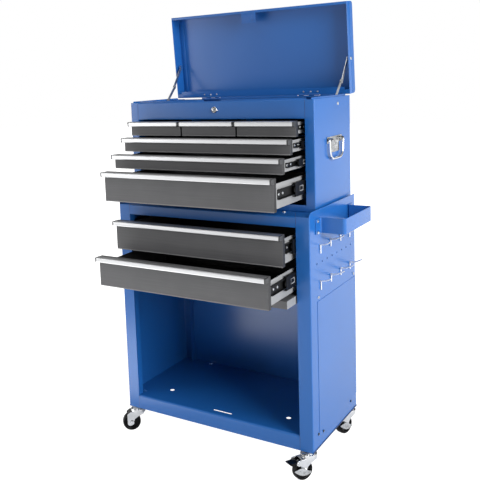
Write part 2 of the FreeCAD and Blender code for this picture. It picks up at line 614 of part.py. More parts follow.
# Bail handles: a T-shaped plate with two knuckles and a round-wire bail on each side.
bail_y, bail_z = cell("bail_y"), cell("bail_z")
wire_r = cell("bail_wire")
half = cell("bail_half")
plates = []
for side, word in ((-1, "left"), (1, "right")):
    axis_x = side * (chest_half + cell("bail_stand"))
    plate = new_body("bail_plate_" + word)
    shape = [(bail_y - 50, bail_z - 8, 3), (bail_y - 32, bail_z - 8), (bail_y - 32, bail_z - 32, 5),
             (bail_y + 30, bail_z - 32, 5), (bail_y + 30, bail_z - 8), (bail_y + 50, bail_z - 8, 3),
             (bail_y + 50, bail_z + 8, 3), (bail_y - 50, bail_z + 8, 3)]
    ends = sorted((side * chest_half, side * (chest_half + 1.5)), key=number)
    extrude(plate, "bail_sheet", "YZ", [shape], *ends)
    for centre in (bail_y - 36, bail_y + 36):
        knuckle = ("circle", axis_x, bail_z, wire_r + 1.6)
        bridge = sorted((side * (chest_half + 1.2), axis_x), key=number)
        extrude(plate, "bail_bridge", "XZ", [rect(*bridge, bail_z - 2, bail_z + 4.6)], centre - 4.8, centre + 4.8)
        extrude(plate, "bail_knuckle", "XZ", [knuckle], centre - 4.8, centre + 4.8)
        extrude(plate, "bail_bore", "XZ", [("circle", axis_x, bail_z, wire_r + 0.08)], centre - 6, centre + 6, cut=True)
    plates.append(plate)
    bail = new_body("bail_" + word)
    drop = cell("bail_drop")
    ring = [(-half + 16, 0), (-half + 4, 0), (-half, -4), (-half, -drop + 14), (-half + 4, -drop + 4), (-half + 14, -drop),
            (half - 14, -drop), (half - 4, -drop + 4), (half, -drop + 14), (half, -4), (half - 4, 0), (half - 16, 0)]
    wire(bail, "bail_ring", "YZ", 0, ring, "XZ", half - 16, ("circle", 0, 0, wire_r))
    place("bail_" + word, [bail], x=axis_x, y=bail_y, z=bail_z)
place("bail_plates", plates)

# Drawers. Each row: name, fronts' edges, box edges, front plane when shut, how far it stands open,
# front's and box's heights, slide height, depth.
pull_parts = {}
slides = []
slide_reach = cell("chest_slide")


def channel(body, name, back_x, open_x, middle, height, thick, start, end):
    side = 1 if number(back_x) > number(open_x) else -1
    path = [(open_x, middle - height / 2), (back_x, middle - height / 2), (back_x, middle + height / 2),
            (open_x, middle + height / 2)]
    extrude(body, name, "XZ", [bent_sheet(path, thick, side)], start, end)


def drawer(word, x_low, x_high, box_low, box_high, shut, opened, low, high, tray_low, tray_high, depth, member, start, length):
    front = shut - opened
    thin = cell("tray_sheet")
    thick = cell("front_thick")
    tray = new_body("tray_" + word)
    block(tray, "box", (box_low, box_high), (front + thick, front + depth), (tray_low, tray_high))
    block(tray, "inside", (box_low + thin, box_high - thin), (front + thick + thin, front + depth - thin),
          (tray_low + thin, tray_high + 1), cut=True)
    block(tray, "front", (x_low, x_high), (front, front + thick), (low, high))
    block(tray, "front_hollow", (x_low + thin, x_high - thin), (front + thin, front + thick - thin),
          (low - 1, high - thin), cut=True)
    middle, tall = member
    reach = 7.5 if word in wide else 6
    for edge, way in ((box_low, -1), (box_high, 1)):
        points = [(edge + way * reach, middle - tall / 2), (edge, middle - tall / 2), (edge, middle + tall / 2),
                  (edge + way * reach, middle + tall / 2)]
        extrude(tray, "member", "XZ", [bent_sheet(points, skin, -way)], front + start + 4, front + start + length)
    place("drawer_%s_tray" % word, [tray])
    pull = new_body("pull_" + word)
    reach, tall, wall = cell("pull_reach"), cell("pull_tall"), cell("pull_wall")
    strip_points = [(front, high), (front - reach, high, 2.4), (front - reach, high - tall, 2.4),
                    (front - reach + 5, high - tall)]
    extrude(pull, "pull_strip", "YZ", [bent_sheet(strip_points, wall, 1)], x_low + 1.5, x_high - 1.5)
    caps = []
    for edge in (x_low - 1, x_high - 1.5):
        cap = new_body("cap")
        outline_points = [(front, high), (front - reach + 1.4, high), (front - reach, high - 1.4),
                          (front - reach, high - tall + 1.4), (front - reach + 1.4, high - tall), (front, high - tall)]
        extrude(cap, "cap_block", "YZ", [outline_points], edge, edge + 2.5)
        caps.append(cap)
    place("drawer_%s_pull" % word, [pull] + caps)


wide = ("wide_a", "wide_b", "deep_a", "deep_b", "deep_c")
front_half, box_half = cell("front_half"), cell("box_half")
chest_tray, cab_tray = cell("chest_tray_depth"), cell("cab_tray_depth")
small = (front_half * 2 - cell("small_gap") * 2) / 3
divider_face = divider_x + 0.6
small_boxes = ((-front_half, -front_half + small, -box_half, -divider_face - 9),
               (-small / 2, small / 2, -divider_x + 0.6 + 9, divider_x - 0.6 - 9),
               (front_half - small, front_half, divider_face + 9, box_half))
for word, (x_low, x_high, box_low, box_high) in zip(("small_a", "small_b", "small_c"), small_boxes):
    drawer(word, x_low, x_high, box_low, box_high, chest_front, 40.3, 772, 809, 777, 805, chest_tray, (792, 11), 26, 190)
rows = (("wide_a", chest_front, 73.7, 732, 769, 735.5, 764.4, chest_tray, (751, 11), cell("thin_slide"), 30),
        ("wide_b", chest_front, 118.9, 692, 729, 694, 722.7, chest_tray, (709, 11), cell("thin_slide"), 30),
        ("deep_a", chest_front, 165.9, 612, 689, 615, 674, chest_tray, (648, 23), cell("deep_slide"), 30),
        ("deep_b", 0, 66.1, 477, 554, 479, 539.4, cab_tray, (515.5, 23), cell("deep_slide"), 20),
        ("deep_c", 0, 143.3, 397, 474, 399, 458.5, cab_tray, (435, 23), cell("deep_slide"), 20))
for word, shut, opened, low, high, tray_low, tray_high, depth, member, tall, start in rows:
    upper = number(shut) > 1
    length = cell("chest_slide") if upper else cell("cab_slide")
    wall_x = chest_open if upper else cab_open
    drawer(word, -front_half, front_half, -box_half, box_half, shut, opened, low, high, tray_low, tray_high, depth,
           member, start, length - 6)
    middle = member[0]
    outer = new_body("outer_" + word)
    channel(outer, "outer_web", wall_x, box_half + 1.5, middle, tall, skin, shut + start - 2, shut + start + length)
    slides += [outer, mirrored("outer_left_" + word, outer)]
    inner = new_body("middle_" + word)
    inner_tall = 33 if number(tall) > 30 else 17
    begin = shut + start - opened / 2
    channel(inner, "middle_web", box_half + 10.4, box_half + 2.5, middle, inner_tall, skin, begin, begin + length - 4)
    place("slide_middle_" + word, [inner, mirrored("middle_left_" + word, inner)])
for edge, open_edge in ((chest_open, box_half + 1.5), (divider_face, divider_face + 7.5),
                        (divider_x - 0.6, divider_x - 8.1)):
    small_outer = new_body("small_outer")
    channel(small_outer, "small_web", edge, open_edge, size(792), 17, skin, chest_front + 26, chest_front + 26 + 194)
    slides += [small_outer, mirrored("small_outer_left", small_outer)]

# Door tracks: channels behind the posts at the height of the stowed door's pin.
roller = cell("roller_radius")
track = new_body("track")
channel(track, "track_web", cab_open + 17.3, cab_open + 2, pin_z, roller * 2 + 0.6 + skin * 2, skin, 2, cab_depth - 3)
slides += [track, mirrored("track_left", track)]
place("fixed_slides", slides)

# Door of the compartment, stowed flat under the lowest drawer, and the rod it swings on.
door = new_body("door")
door_half = cell("door_half")
door_span = (pin_y - cell("door_long"), pin_y + 5)
block(door, "door_pan", (-door_half, door_half), door_span, (pin_z - cell("door_below"), pin_z + cell("door_above")))
block(door, "door_hollow", (-door_half + skin, door_half - skin), (door_span[0] + skin, door_span[1] - skin),
      (pin_z - cell("door_below") - 1, pin_z + cell("door_above") - skin), cut=True)
extrude(door, "door_bore", "YZ", [("circle", pin_y, pin_z, cell("pin_radius") + 0.08)], -door_half - 1, door_half + 1,
        cut=True)
soften(door, "door_edge", 2.0, lambda edge, middle: close(middle.y, door_span[0]) and edge.Length > 300
       and close(middle.z, pin_z + cell("door_above")))
place("compartment_door", [door])
rod = new_body("rod")
shaft = cell("pin_radius")
rod_half = cab_open + 15.5
spin(rod, "rod_turned", [[(-rod_half, 0), (-rod_half, roller), (-rod_half + 11, roller), (-rod_half + 11, shaft),
                          (rod_half - 11, shaft), (rod_half - 11, roller), (rod_half, roller), (rod_half, 0)]], "H_Axis")
place("door_rod", [rod], y=pin_y, z=pin_z)

# Casters: a corner plate with a stem, swivel fork, wheel, and a pedal on the two braked ones.
wheel_r, trail, axle_z = cell("wheel_radius"), cell("trail"), cell("axle_z")
caster_x = cell("caster_x")
places = (("front_left", -caster_x, cell("caster_front"), 222, False),
          ("front_right", caster_x, cell("caster_front"), 240, True),
          ("rear_left", -caster_x, cell("caster_rear"), 235, False),
          ("rear_right", caster_x, cell("caster_rear"), 252, True))
corner_plates = []
for word, x, y, heading, braked in places:
    plate = new_body("plate_" + word)
    side = 1 if number(x) > 0 else -1
    back_row = number(y) > 100
    x_ends = sorted((side * (cab_half - 52), side * (cab_half - skin * 2)), key=number)
    y_ends = (cab_depth - skin - 46, cab_depth - skin * 2) if back_row else (skin, 46 + skin)
    block(plate, "corner_sheet", x_ends, y_ends, (0, 2.5))
    extrude(plate, "stem", "XY", [("circle", x, y, 5)], -17.5, 8)
    corner_plates.append(plate)
    fork = new_body("fork_" + word)
    dome = [(5.1, -1), (11, -1), (cell("head_radius"), -7), (cell("head_radius"), -16), (5.1, -16)]
    spin(fork, "head", [dome])
    leg = [(-15, -14), (24, -14), (33, -20), (33, axle_z - 4), (28, axle_z - 10, 5), (19, axle_z - 8, 4), (12, -35),
           (0, -27), (-15, -21)]
    extrude(fork, "legs", "XZ", [leg], -13.6, 13.6)
    if braked:
        ear = [(10, -14), (42, -14, 5), (46, -22, 4), (38, -28, 4), (22, -28)]
        extrude(fork, "ears", "XZ", [ear], -13.6, 13.6)
        extrude(fork, "ear_slot", "XZ", [rect(26, 50, -34, -10)], -11.6, 11.6, cut=True)
    extrude(fork, "wheel_slot", "XZ", [rect(-40, 50, -70, -18.3)], -11.6, 11.6, cut=True)
    extrude(fork, "axle_hole", "XZ", [("circle", trail, axle_z, 4)], -15, 15, cut=True)
    extrude(fork, "stem_hole", "XY", [("circle", 0, 0, 5.1)], -19, 0, cut=True)
    items = [fork]
    axle = new_body("axle_" + word)
    extrude(axle, "shank", "XZ", [("circle", trail, axle_z, 3.95)], -14.6, 14.6)
    extrude(axle, "bolt_head", "XZ", [six_sided(trail, axle_z, 6)], -17.6, -13.7)
    extrude(axle, "bolt_nut", "XZ", [six_sided(trail, axle_z, 6)], 13.7, 17)
    items.append(axle)
    if braked:
        extrude(fork, "pin_hole", "XZ", [("circle", 40, -21, 2)], -15, 15, cut=True)
        items.append(cylinder("brake_pin_" + word, (40, -14.2, -21), 1.95, 28.4, (0, 1, 0)))
    place("caster_fork_" + word, items, x=x, y=y, angle=heading)
    wheel = new_body("wheel_" + word)
    half_wheel = cell("wheel_width") / 2
    tread = [(-half_wheel + 2, 4.05), (-half_wheel, 18), (-half_wheel, wheel_r - 3), (-half_wheel + 3, wheel_r),
             (half_wheel - 3, wheel_r), (half_wheel, wheel_r - 3), (half_wheel, 18), (half_wheel - 2, 4.05)]
    spin(wheel, "wheel_turned", [tread], "H_Axis")
    turn = math.radians(heading)
    place("caster_wheel_" + word, [wheel], x=x + trail * math.cos(turn), y=y + trail * math.sin(turn), z=axle_z,
          angle=heading + 90)
    if braked:
        pedal = new_body("pedal_" + word)
        extrude(pedal, "pedal_hub", "XZ", [("circle", 40, -21, 4)], -11, 11)
        arm = [(40, -24.8), (56, -24, 2), (62, -20, 1.5), (62, -17.6, 1), (40, -17.4)]
        extrude(pedal, "pedal_arm", "XZ", [arm], -11, 11)
        extrude(pedal, "pedal_bore", "XZ", [("circle", 40, -21, 2.02)], -12, 12, cut=True)
        place("brake_pedal_" + word, [pedal], x=x, y=y, angle=heading)
place("caster_plates", corner_plates)

# Screws and rivets that hold the sheets.
fasteners = list(chest_pivots)
panel_face = cab_half + 0.8
for y, z in ((46, 381), (285, 381), (34, 36), (64, 31), (258, 31)):
    fasteners.append(cylinder("wall_screw", (cab_half, y, z), 3.2, 1.8, (1, 0, 0)))
for z in (541, 568.5):
    fasteners.append(cylinder("handle_rivet", (cab_half + strip, front_arm - 17, z), 4, 1.6, (1, 0, 0)))
    fasteners.append(cylinder("handle_rivet", (cab_half + strip, rear_arm + 18, z), 4, 1.6, (1, 0, 0)))
fasteners.append(cylinder("deck_screw", (194, 47, deck), 4, 2, (0, 0, 1)))
for y in (number(bail_y) - 25, number(bail_y) + 25):
    for side in (-1, 1):
        start = side * (chest_half + 1.5)
        fasteners.append(cylinder("bail_rivet", (start, y, bail_z), 3.2, 1.4, (side, 0, 0)))
place("cabinet_fasteners", fasteners)

doc.recompute()
failed = [item.Name for item in doc.Objects if "Invalid" in item.State or "Error" in item.State]
if failed:
    raise RuntimeError("failed: " + ", ".join(failed))
os.makedirs("parts", exist_ok=True)
whole = FreeCAD.BoundBox()
triangles = 0
for node, item in nodes.items():
    shape = item.Shape
    if shape.isNull() or not shape.isValid():
        raise RuntimeError("bad shape: " + node)
    whole.add(shape.BoundBox)
    shape.exportStep("parts/%s.step" % node)
print("nodes", len(nodes), "solids", sum(len(item.Shape.Solids) for item in nodes.values()))
print("box", [round(value, 3) for value in (whole.XMin, whole.XMax, whole.YMin, whole.YMax, whole.ZMin, whole.ZMax)])
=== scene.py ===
import bpy
import bmesh
import json
from math import cos, pi, radians, sin
from mathutils import Matrix, Vector


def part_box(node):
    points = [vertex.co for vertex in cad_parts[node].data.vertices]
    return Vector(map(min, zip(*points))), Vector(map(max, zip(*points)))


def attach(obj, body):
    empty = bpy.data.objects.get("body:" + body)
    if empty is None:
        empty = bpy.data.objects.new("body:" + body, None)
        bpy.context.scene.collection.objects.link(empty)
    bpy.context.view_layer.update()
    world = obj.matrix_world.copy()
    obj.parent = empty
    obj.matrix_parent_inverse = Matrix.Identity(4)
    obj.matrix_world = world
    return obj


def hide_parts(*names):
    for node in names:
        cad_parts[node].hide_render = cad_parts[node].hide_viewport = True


# A two-box tool chest on casters, dressed over its packed construction model.
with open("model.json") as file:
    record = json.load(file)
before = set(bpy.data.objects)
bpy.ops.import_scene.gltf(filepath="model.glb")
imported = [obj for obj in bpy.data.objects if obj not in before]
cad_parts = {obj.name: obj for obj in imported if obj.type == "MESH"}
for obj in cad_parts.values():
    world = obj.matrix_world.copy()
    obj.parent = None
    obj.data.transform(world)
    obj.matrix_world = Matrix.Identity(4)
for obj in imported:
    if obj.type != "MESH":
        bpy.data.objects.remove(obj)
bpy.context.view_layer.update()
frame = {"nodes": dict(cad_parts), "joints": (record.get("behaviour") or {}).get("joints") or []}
nodes = frame["nodes"]

# The cabinet's front centre on its underside, from which every place below is measured in mm.
mm = 0.001
halfWidth = 280
wallLow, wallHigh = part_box("cabinet_left_wall")
origin = Vector((wallLow.x + halfWidth * mm, wallLow.y, wallLow.z))


def at(x, y, z):
    return origin + Vector((x, y, z)) * mm


# Colours and finishes

def linear(hexText):
    channels = [int(hexText[i:i + 2], 16) / 255 for i in (1, 3, 5)]
    return [c / 12.92 if c < 0.04045 else ((c + 0.055) / 1.055) ** 2.4 for c in channels] + [1.0]


def addNode(tree, kind, settings=None, values=None, links=None):
    node = tree.nodes.new(kind)
    for name, value in (settings or {}).items():
        setattr(node, name, value)
    for socket, value in (values or {}).items():
        node.inputs[socket].default_value = value
    for socket, source in (links or {}).items():
        tree.links.new(source, node.inputs[socket])
    return node


def newFinish(name):
    material = bpy.data.materials.new(name)
    material.use_nodes = True
    tree = material.node_tree
    shader = tree.nodes["Principled BSDF"]
    place = addNode(tree, "ShaderNodeTexCoord").outputs["Object"]
    return material, tree, shader, place


def sizeToScale(sizeMm):
    return 1 / (sizeMm * mm)


# Colour, roughness and relief of a sprayed, plated or moulded surface: cloud is the slow drift of tone, grain
# the small unevenness that breaks up a highlight, and a streak the faint brushing along a drawer's front.
sprayLook = {"toneEnds": (0.2, 0.8), "detail": 3.0, "grainDetail": 2.0, "streakStretch": 6.0,
             "streakDeepMm": 60, "reliefShare": 0.05, "ior": 1.5}


def sprayedFinish(name, look):
    material, tree, shader, place = newFinish(name)
    cloud = addNode(tree, "ShaderNodeTexNoise", links={"Vector": place},
                    values={"Scale": sizeToScale(look["cloudMm"]), "Detail": sprayLook["detail"]})
    tone = addNode(tree, "ShaderNodeValToRGB", links={"Fac": cloud.outputs["Fac"]})
    tone.color_ramp.interpolation = "EASE"
    for stop, spot, colour in zip(tone.color_ramp.elements, sprayLook["toneEnds"],
                                  (look["deep"], look["pale"])):
        stop.position = spot
        stop.color = linear(colour)
    colour = tone.outputs["Color"]
    if "streak" in look:
        stretch = (sprayLook["streakStretch"], sizeToScale(sprayLook["streakDeepMm"]),
                   sizeToScale(look["streakMm"]))
        drawn = addNode(tree, "ShaderNodeMapping", values={"Scale": stretch}, links={"Vector": place})
        hair = addNode(tree, "ShaderNodeTexNoise", links={"Vector": drawn.outputs["Vector"]},
                       values={"Scale": 1.0, "Detail": sprayLook["detail"]})
        shift = addNode(tree, "ShaderNodeMapRange", links={"Value": hair.outputs["Fac"]},
                        values={"To Min": 1 - look["streak"], "To Max": 1 + look["streak"]})
        tinted = addNode(tree, "ShaderNodeVectorMath", {"operation": "MULTIPLY"},
                         links={0: colour, 1: shift.outputs["Result"]})
        colour = tinted.outputs["Vector"]
    tree.links.new(colour, shader.inputs["Base Color"])
    grain = addNode(tree, "ShaderNodeTexNoise", links={"Vector": place},
                    values={"Scale": sizeToScale(look["grainMm"]), "Detail": sprayLook["grainDetail"]})
    rough = addNode(tree, "ShaderNodeMapRange", links={"Value": cloud.outputs["Fac"]},
                    values={"To Min": look["rough"] - look["spread"],
                            "To Max": look["rough"] + look["spread"]})
    tree.links.new(rough.outputs["Result"], shader.inputs["Roughness"])
    depth = look["grainMm"] * mm * sprayLook["reliefShare"]
    relief = addNode(tree, "ShaderNodeBump", links={"Height": grain.outputs["Fac"]},
                     values={"Strength": look["relief"], "Distance": depth})
    tree.links.new(relief.outputs["Normal"], shader.inputs["Normal"])
    shader.inputs["Metallic"].default_value = look.get("metallic", 0.0)
    if "metallic" not in look:
        shader.inputs["IOR"].default_value = look.get("ior", sprayLook["ior"])
    return material


# Enamel: polyester powder baked on sheet steel. It flows out to a soft shine with a faint orange peel.
blueEnamel = sprayedFinish("blueBakedEnamel",
                           {"deep": "#1c5aa1", "pale": "#1f5ea6", "cloudMm": 240, "grainMm": 2.2,
                            "rough": 0.27, "spread": 0.0, "relief": 0.25, "ior": 1.47})
# Painted shade: the blue powder drawn dark for the shade in a seam.
seamShade = sprayedFinish("thinSeamPaint",
                          {"deep": "#122a57", "pale": "#16305e", "cloudMm": 30, "grainMm": 1.2, "rough": 0.5,
                           "spread": 0.05, "relief": 0.2})
# The same kind of powder in charcoal with a satin surface, on the drawers' fronts and the door.
charcoalEnamel = sprayedFinish("charcoalSatinEnamel",
                               {"deep": "#4b4b4d", "pale": "#555557", "cloudMm": 90, "grainMm": 1.4,
                                "rough": 0.46, "spread": 0.06, "relief": 0.35, "streakMm": 1.1,
                                "streak": 0.28})
# The same powder in pale grey on the ball cages; on the drawers' outer sides and the door's ends it is
# painted light, the charcoal drawn paler where the side lamp falls.
greyCagesAndLitSides = sprayedFinish("paleGreyEnamel",
                           {"deep": "#848586", "pale": "#8d8e8f", "cloudMm": 60, "grainMm": 1.6,
                            "rough": 0.42, "spread": 0.06, "relief": 0.3})
# Painted highlight: the fronts' charcoal drawn paler on the folded hem, for the light its round nose catches.
hemHighlight = sprayedFinish("foldedEdgeEnamel",
                          {"deep": "#6a6a6c", "pale": "#757577", "cloudMm": 60, "grainMm": 1.6, "rough": 0.42,
                           "spread": 0.06, "relief": 0.3})
# Painted shade: the charcoal drawn near-black and matt inside the trays and on the fronts' side returns.
shadedCharcoal = sprayedFinish("trayInsideEnamel",
                           {"deep": "#18181a", "pale": "#202022", "cloudMm": 60, "grainMm": 1.6, "rough": 0.5,
                            "spread": 0.06, "relief": 0.3})
# Cathodic dip coat on rolled slide steel: thin and black with a low shine.
dipCoat = sprayedFinish("blackDipCoat",
                        {"deep": "#050506", "pale": "#0b0b0c", "cloudMm": 25, "grainMm": 1.0, "rough": 0.5,
                         "spread": 0.08, "relief": 0.2, "ior": 1.3})
# Zinc plate over stamped steel: grey metal with a fine cloudy spangle.
zincPlate = sprayedFinish("brightZincPlate",
                          {"deep": "#a9abad", "pale": "#c9cbcd", "cloudMm": 5, "grainMm": 0.8, "rough": 0.3,
                           "spread": 0.1, "relief": 0.15, "metallic": 1.0})
# Chrome over polished steel: mirror bright, slightly uneven where the wire was bent.
chromePlate = sprayedFinish("brightChromePlate",
                            {"deep": "#d2d4d6", "pale": "#e4e5e7", "cloudMm": 18, "grainMm": 3.0,
                             "rough": 0.1, "spread": 0.05, "relief": 0.08, "metallic": 1.0})
# Nickel over stamped sheet, duller than the wire and darker where it has been handled.
nickelPlate = sprayedFinish("dullNickelPlate",
                            {"deep": "#7d7f81", "pale": "#b0b2b4", "cloudMm": 9, "grainMm": 1.2,
                             "rough": 0.24, "spread": 0.1, "relief": 0.2, "metallic": 1.0})
# Zinc-plated wire, blasted pale before plating, so it stays bright from every side.
paleWire = sprayedFinish("paleZincWire",
                         {"deep": "#d9dadc", "pale": "#f0f1f2", "cloudMm": 6, "grainMm": 1.0, "rough": 0.5,
                          "spread": 0.06, "relief": 0.1, "metallic": 0.7})
# Black rubber, moulded in a polished tool: dark, with a low shine on the crown of the tread.
blackTread = sprayedFinish("mouldedBlackTread",
                           {"deep": "#020202", "pale": "#060607", "cloudMm": 12, "grainMm": 0.9,
                            "rough": 0.35, "spread": 0.08, "relief": 0.4, "ior": 1.25})
# Dark ABS caps on the pulls' ends: moulded, with the tool's fine eroded texture.
capPlastic = sprayedFinish("mouldedGreyPlastic",
                           {"deep": "#2a2b2d", "pale": "#343537", "cloudMm": 8, "grainMm": 0.7, "rough": 0.45,
                            "spread": 0.08, "relief": 0.4})


# Anodised aluminium strip: drawn through a die, which leaves hairlines along its length. A real hairline is
# finer than the render can show, so they are 0.9 mm wide.
stripLook = {"deep": "#b8b9bb", "pale": "#d0d1d2", "stretch": 4.0, "hairMm": 0.9, "detail": 2.0,
             "rough": (0.32, 0.46), "relief": 0.2, "reliefMm": 0.05}


def anodisedStrip():
    material, tree, shader, place = newFinish("satinAnodisedStrip")
    hairScale = sizeToScale(stripLook["hairMm"])
    along = addNode(tree, "ShaderNodeMapping", links={"Vector": place},
                    values={"Scale": (stripLook["stretch"], hairScale, hairScale)})
    hair = addNode(tree, "ShaderNodeTexNoise", links={"Vector": along.outputs["Vector"]},
                   values={"Scale": 1.0, "Detail": stripLook["detail"]})
    tone = addNode(tree, "ShaderNodeValToRGB", links={"Fac": hair.outputs["Fac"]})
    for stop, colour in zip(tone.color_ramp.elements, (stripLook["deep"], stripLook["pale"])):
        stop.color = linear(colour)
    tree.links.new(tone.outputs["Color"], shader.inputs["Base Color"])
    low, high = stripLook["rough"]
    rough = addNode(tree, "ShaderNodeMapRange", links={"Value": hair.outputs["Fac"]},
                    values={"To Min": low, "To Max": high})
    tree.links.new(rough.outputs["Result"], shader.inputs["Roughness"])
    relief = addNode(tree, "ShaderNodeBump", links={"Height": hair.outputs["Fac"]},
                     values={"Strength": stripLook["relief"], "Distance": stripLook["reliefMm"] * mm})
    tree.links.new(relief.outputs["Normal"], shader.inputs["Normal"])
    shader.inputs["Metallic"].default_value = 1.0
    return material


pullStrip = anodisedStrip()

# The finish of each construction node by the start of its name. The trays are charcoal and the rest is blue.
finishes = (("cabinet_fasteners", zincPlate), ("fixed_slides", dipCoat), ("slide_middle", dipCoat),
            ("bail_plates", nickelPlate), ("bail_", chromePlate), ("side_hooks", chromePlate),
            ("lock_housing", chromePlate), ("lock_plug", chromePlate), ("compartment_door", charcoalEnamel),
            ("door_rod", zincPlate), ("caster_plates", zincPlate), ("caster_wheel", blackTread),
            ("caster_fork", chromePlate), ("brake_pedal", blackTread), ("stay_", zincPlate),
            ("drawer_", pullStrip))


def finishOf(name):
    if name.endswith("_tray"):
        return charcoalEnamel
    return next((material for start, material in finishes if name.startswith(start)), blueEnamel)


for name, piece in nodes.items():
    piece.data.materials.clear()
    piece.data.materials.append(finishOf(name))
print("finishes made")

# Small tools for the pieces. Shapes are drawn in mm about the origin with Z as their axis and then placed.
# Angles are in degrees. A face whose normal passes "facing" along X shows to the side.
toolLook = {"smoothAngle": 35, "foldAngle": 40, "softAngle": 30, "flatAngle": 0.4, "weld": 1e-6,
            "weldMm": 0.001, "facing": 0.7}


def newPiece(name, shape, materials, body, covers=()):
    mesh = bpy.data.meshes.new(name)
    shape.to_mesh(mesh)
    shape.free()
    mesh.shade_smooth()
    mesh.set_sharp_from_angle(angle=radians(toolLook["smoothAngle"]))
    piece = bpy.data.objects.new(name, mesh)
    bpy.context.scene.collection.objects.link(piece)
    for material in materials:
        mesh.materials.append(material)
    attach(piece, body)
    if covers:
        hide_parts(*covers)
    return piece


def roundFolds(piece, name, widthMm):
    edge = piece.modifiers.new(name, "BEVEL")
    edge.width = widthMm * mm
    edge.segments = 2
    edge.limit_method = "ANGLE"
    edge.angle_limit = radians(toolLook["foldAngle"])


def joined(shapes):
    whole = bmesh.new()
    for shape in shapes:
        mesh = bpy.data.meshes.new("share")
        shape.to_mesh(mesh)
        shape.free()
        whole.from_mesh(mesh)
        bpy.data.meshes.remove(mesh)
    return whole


def placed(shape, centre, axis=(0, 0, 1), turn=0.0):
    way = Vector((0, 0, 1)).rotation_difference(Vector(axis)).to_matrix().to_4x4() @ Matrix.Rotation(turn, 4,
                                                                                                     "Z")
    bmesh.ops.transform(shape, matrix=Matrix.Translation(centre) @ way @ Matrix.Scale(mm, 4),
                        verts=shape.verts)
    return shape


def rotated(shape, angle, axis):
    bmesh.ops.rotate(shape, cent=(0, 0, 0), matrix=Matrix.Rotation(angle, 3, axis), verts=shape.verts)
    return shape


# Stood against a side of the chest: X runs to the back, Y up, and Z outwards to the side that way names.
def sideways(shape, way):
    turn = Matrix(((0, 0, way), (1, 0, 0), (0, 1, 0))).to_4x4()
    bmesh.ops.transform(shape, matrix=turn, verts=shape.verts)
    bmesh.ops.recalc_face_normals(shape, faces=shape.faces)
    return shape


def turned(profile, steps=32):
    shape = bmesh.new()
    verts = [shape.verts.new((radius, 0, height)) for radius, height in profile]
    edges = [shape.edges.new(pair) for pair in zip(verts, verts[1:])]
    bmesh.ops.spin(shape, geom=verts + edges, cent=(0, 0, 0), axis=(0, 0, 1), angle=2 * pi, steps=steps,
                   use_merge=True)
    bmesh.ops.remove_doubles(shape, verts=shape.verts, dist=toolLook["weldMm"])
    bmesh.ops.recalc_face_normals(shape, faces=shape.faces)
    return shape


# A flat outline of (x, y) points raised along Z, with its edges rounded by soft.
def raised(outline, low, high, soft=0.0):
    shape = bmesh.new()
    face = shape.faces.new([shape.verts.new((x, y, low)) for x, y in outline])
    lifted = bmesh.ops.extrude_face_region(shape, geom=[face])
    tops = [item for item in lifted["geom"] if isinstance(item, bmesh.types.BMVert)]
    bmesh.ops.translate(shape, vec=(0, 0, high - low), verts=tops)
    bmesh.ops.recalc_face_normals(shape, faces=shape.faces)
    if soft:
        least = radians(toolLook["softAngle"])
        sharp = [edge for edge in shape.edges if len(edge.link_faces) == 2 and edge.calc_face_angle() > least]
        bmesh.ops.bevel(shape, geom=sharp, offset=soft, segments=2, profile=0.5, affect="EDGES", material=-1,
                        clamp_overlap=True)
    return shape


def mergedCopy(node):
    shape = bmesh.new()
    shape.from_mesh(nodes[node].data)
    bmesh.ops.remove_doubles(shape, verts=shape.verts, dist=toolLook["weld"])
    bmesh.ops.dissolve_limit(shape, angle_limit=radians(toolLook["flatAngle"]), verts=shape.verts,
                             edges=shape.edges)
    return shape


def softCopy(node, widthMm, materials, body, ending="_soft"):
    piece = newPiece(node + ending, mergedCopy(node), materials, body, (node,))
    roundFolds(piece, "foldedEdge", widthMm)


# A pan head with a recess of the given outline in its flat top, its foot at the origin.
def sunkHead(radius, height, corners, deep):
    shape = turned([(radius * 0.8, height), (radius * 0.93, height * 0.8), (radius, height * 0.4),
                    (radius, 0)], 20)
    rim = [edge for edge in shape.edges if edge.is_boundary and edge.verts[0].co.z > height * 0.9]
    verts = [shape.verts.new((x, y, height)) for x, y in corners]
    mark = [shape.edges.new((verts[i - 1], verts[i])) for i in range(len(verts))]
    bmesh.ops.triangle_fill(shape, use_beauty=True, edges=rim + mark)
    floor = bmesh.ops.extrude_edge_only(shape, edges=mark)["geom"]
    sunk = [item for item in floor if isinstance(item, bmesh.types.BMVert)]
    bmesh.ops.translate(shape, vec=(0, 0, -deep), verts=sunk)
    bmesh.ops.contextual_create(shape, geom=[item for item in floor if isinstance(item, bmesh.types.BMEdge)])
    return shape


def crossScrew(radius, height):
    a, t = radius * 0.52, radius * 0.14
    cross = [(t, t), (t, a), (-t, a), (-t, t), (-a, t), (-a, -t), (-t, -t), (-t, -a), (t, -a), (t, -t),
             (a, -t), (a, t)]
    return sunkHead(radius, height, cross, height * 0.5)


# A domed rivet head with a shallow set mark in the middle.
def rivetHead(radius, height):
    dome = ((0, 0.75), (0.3, 0.78), (0.42, 1), (0.75, 0.85), (0.95, 0.4), (1, 0))
    return turned([(radius * out, height * up) for out, up in dome], 24)


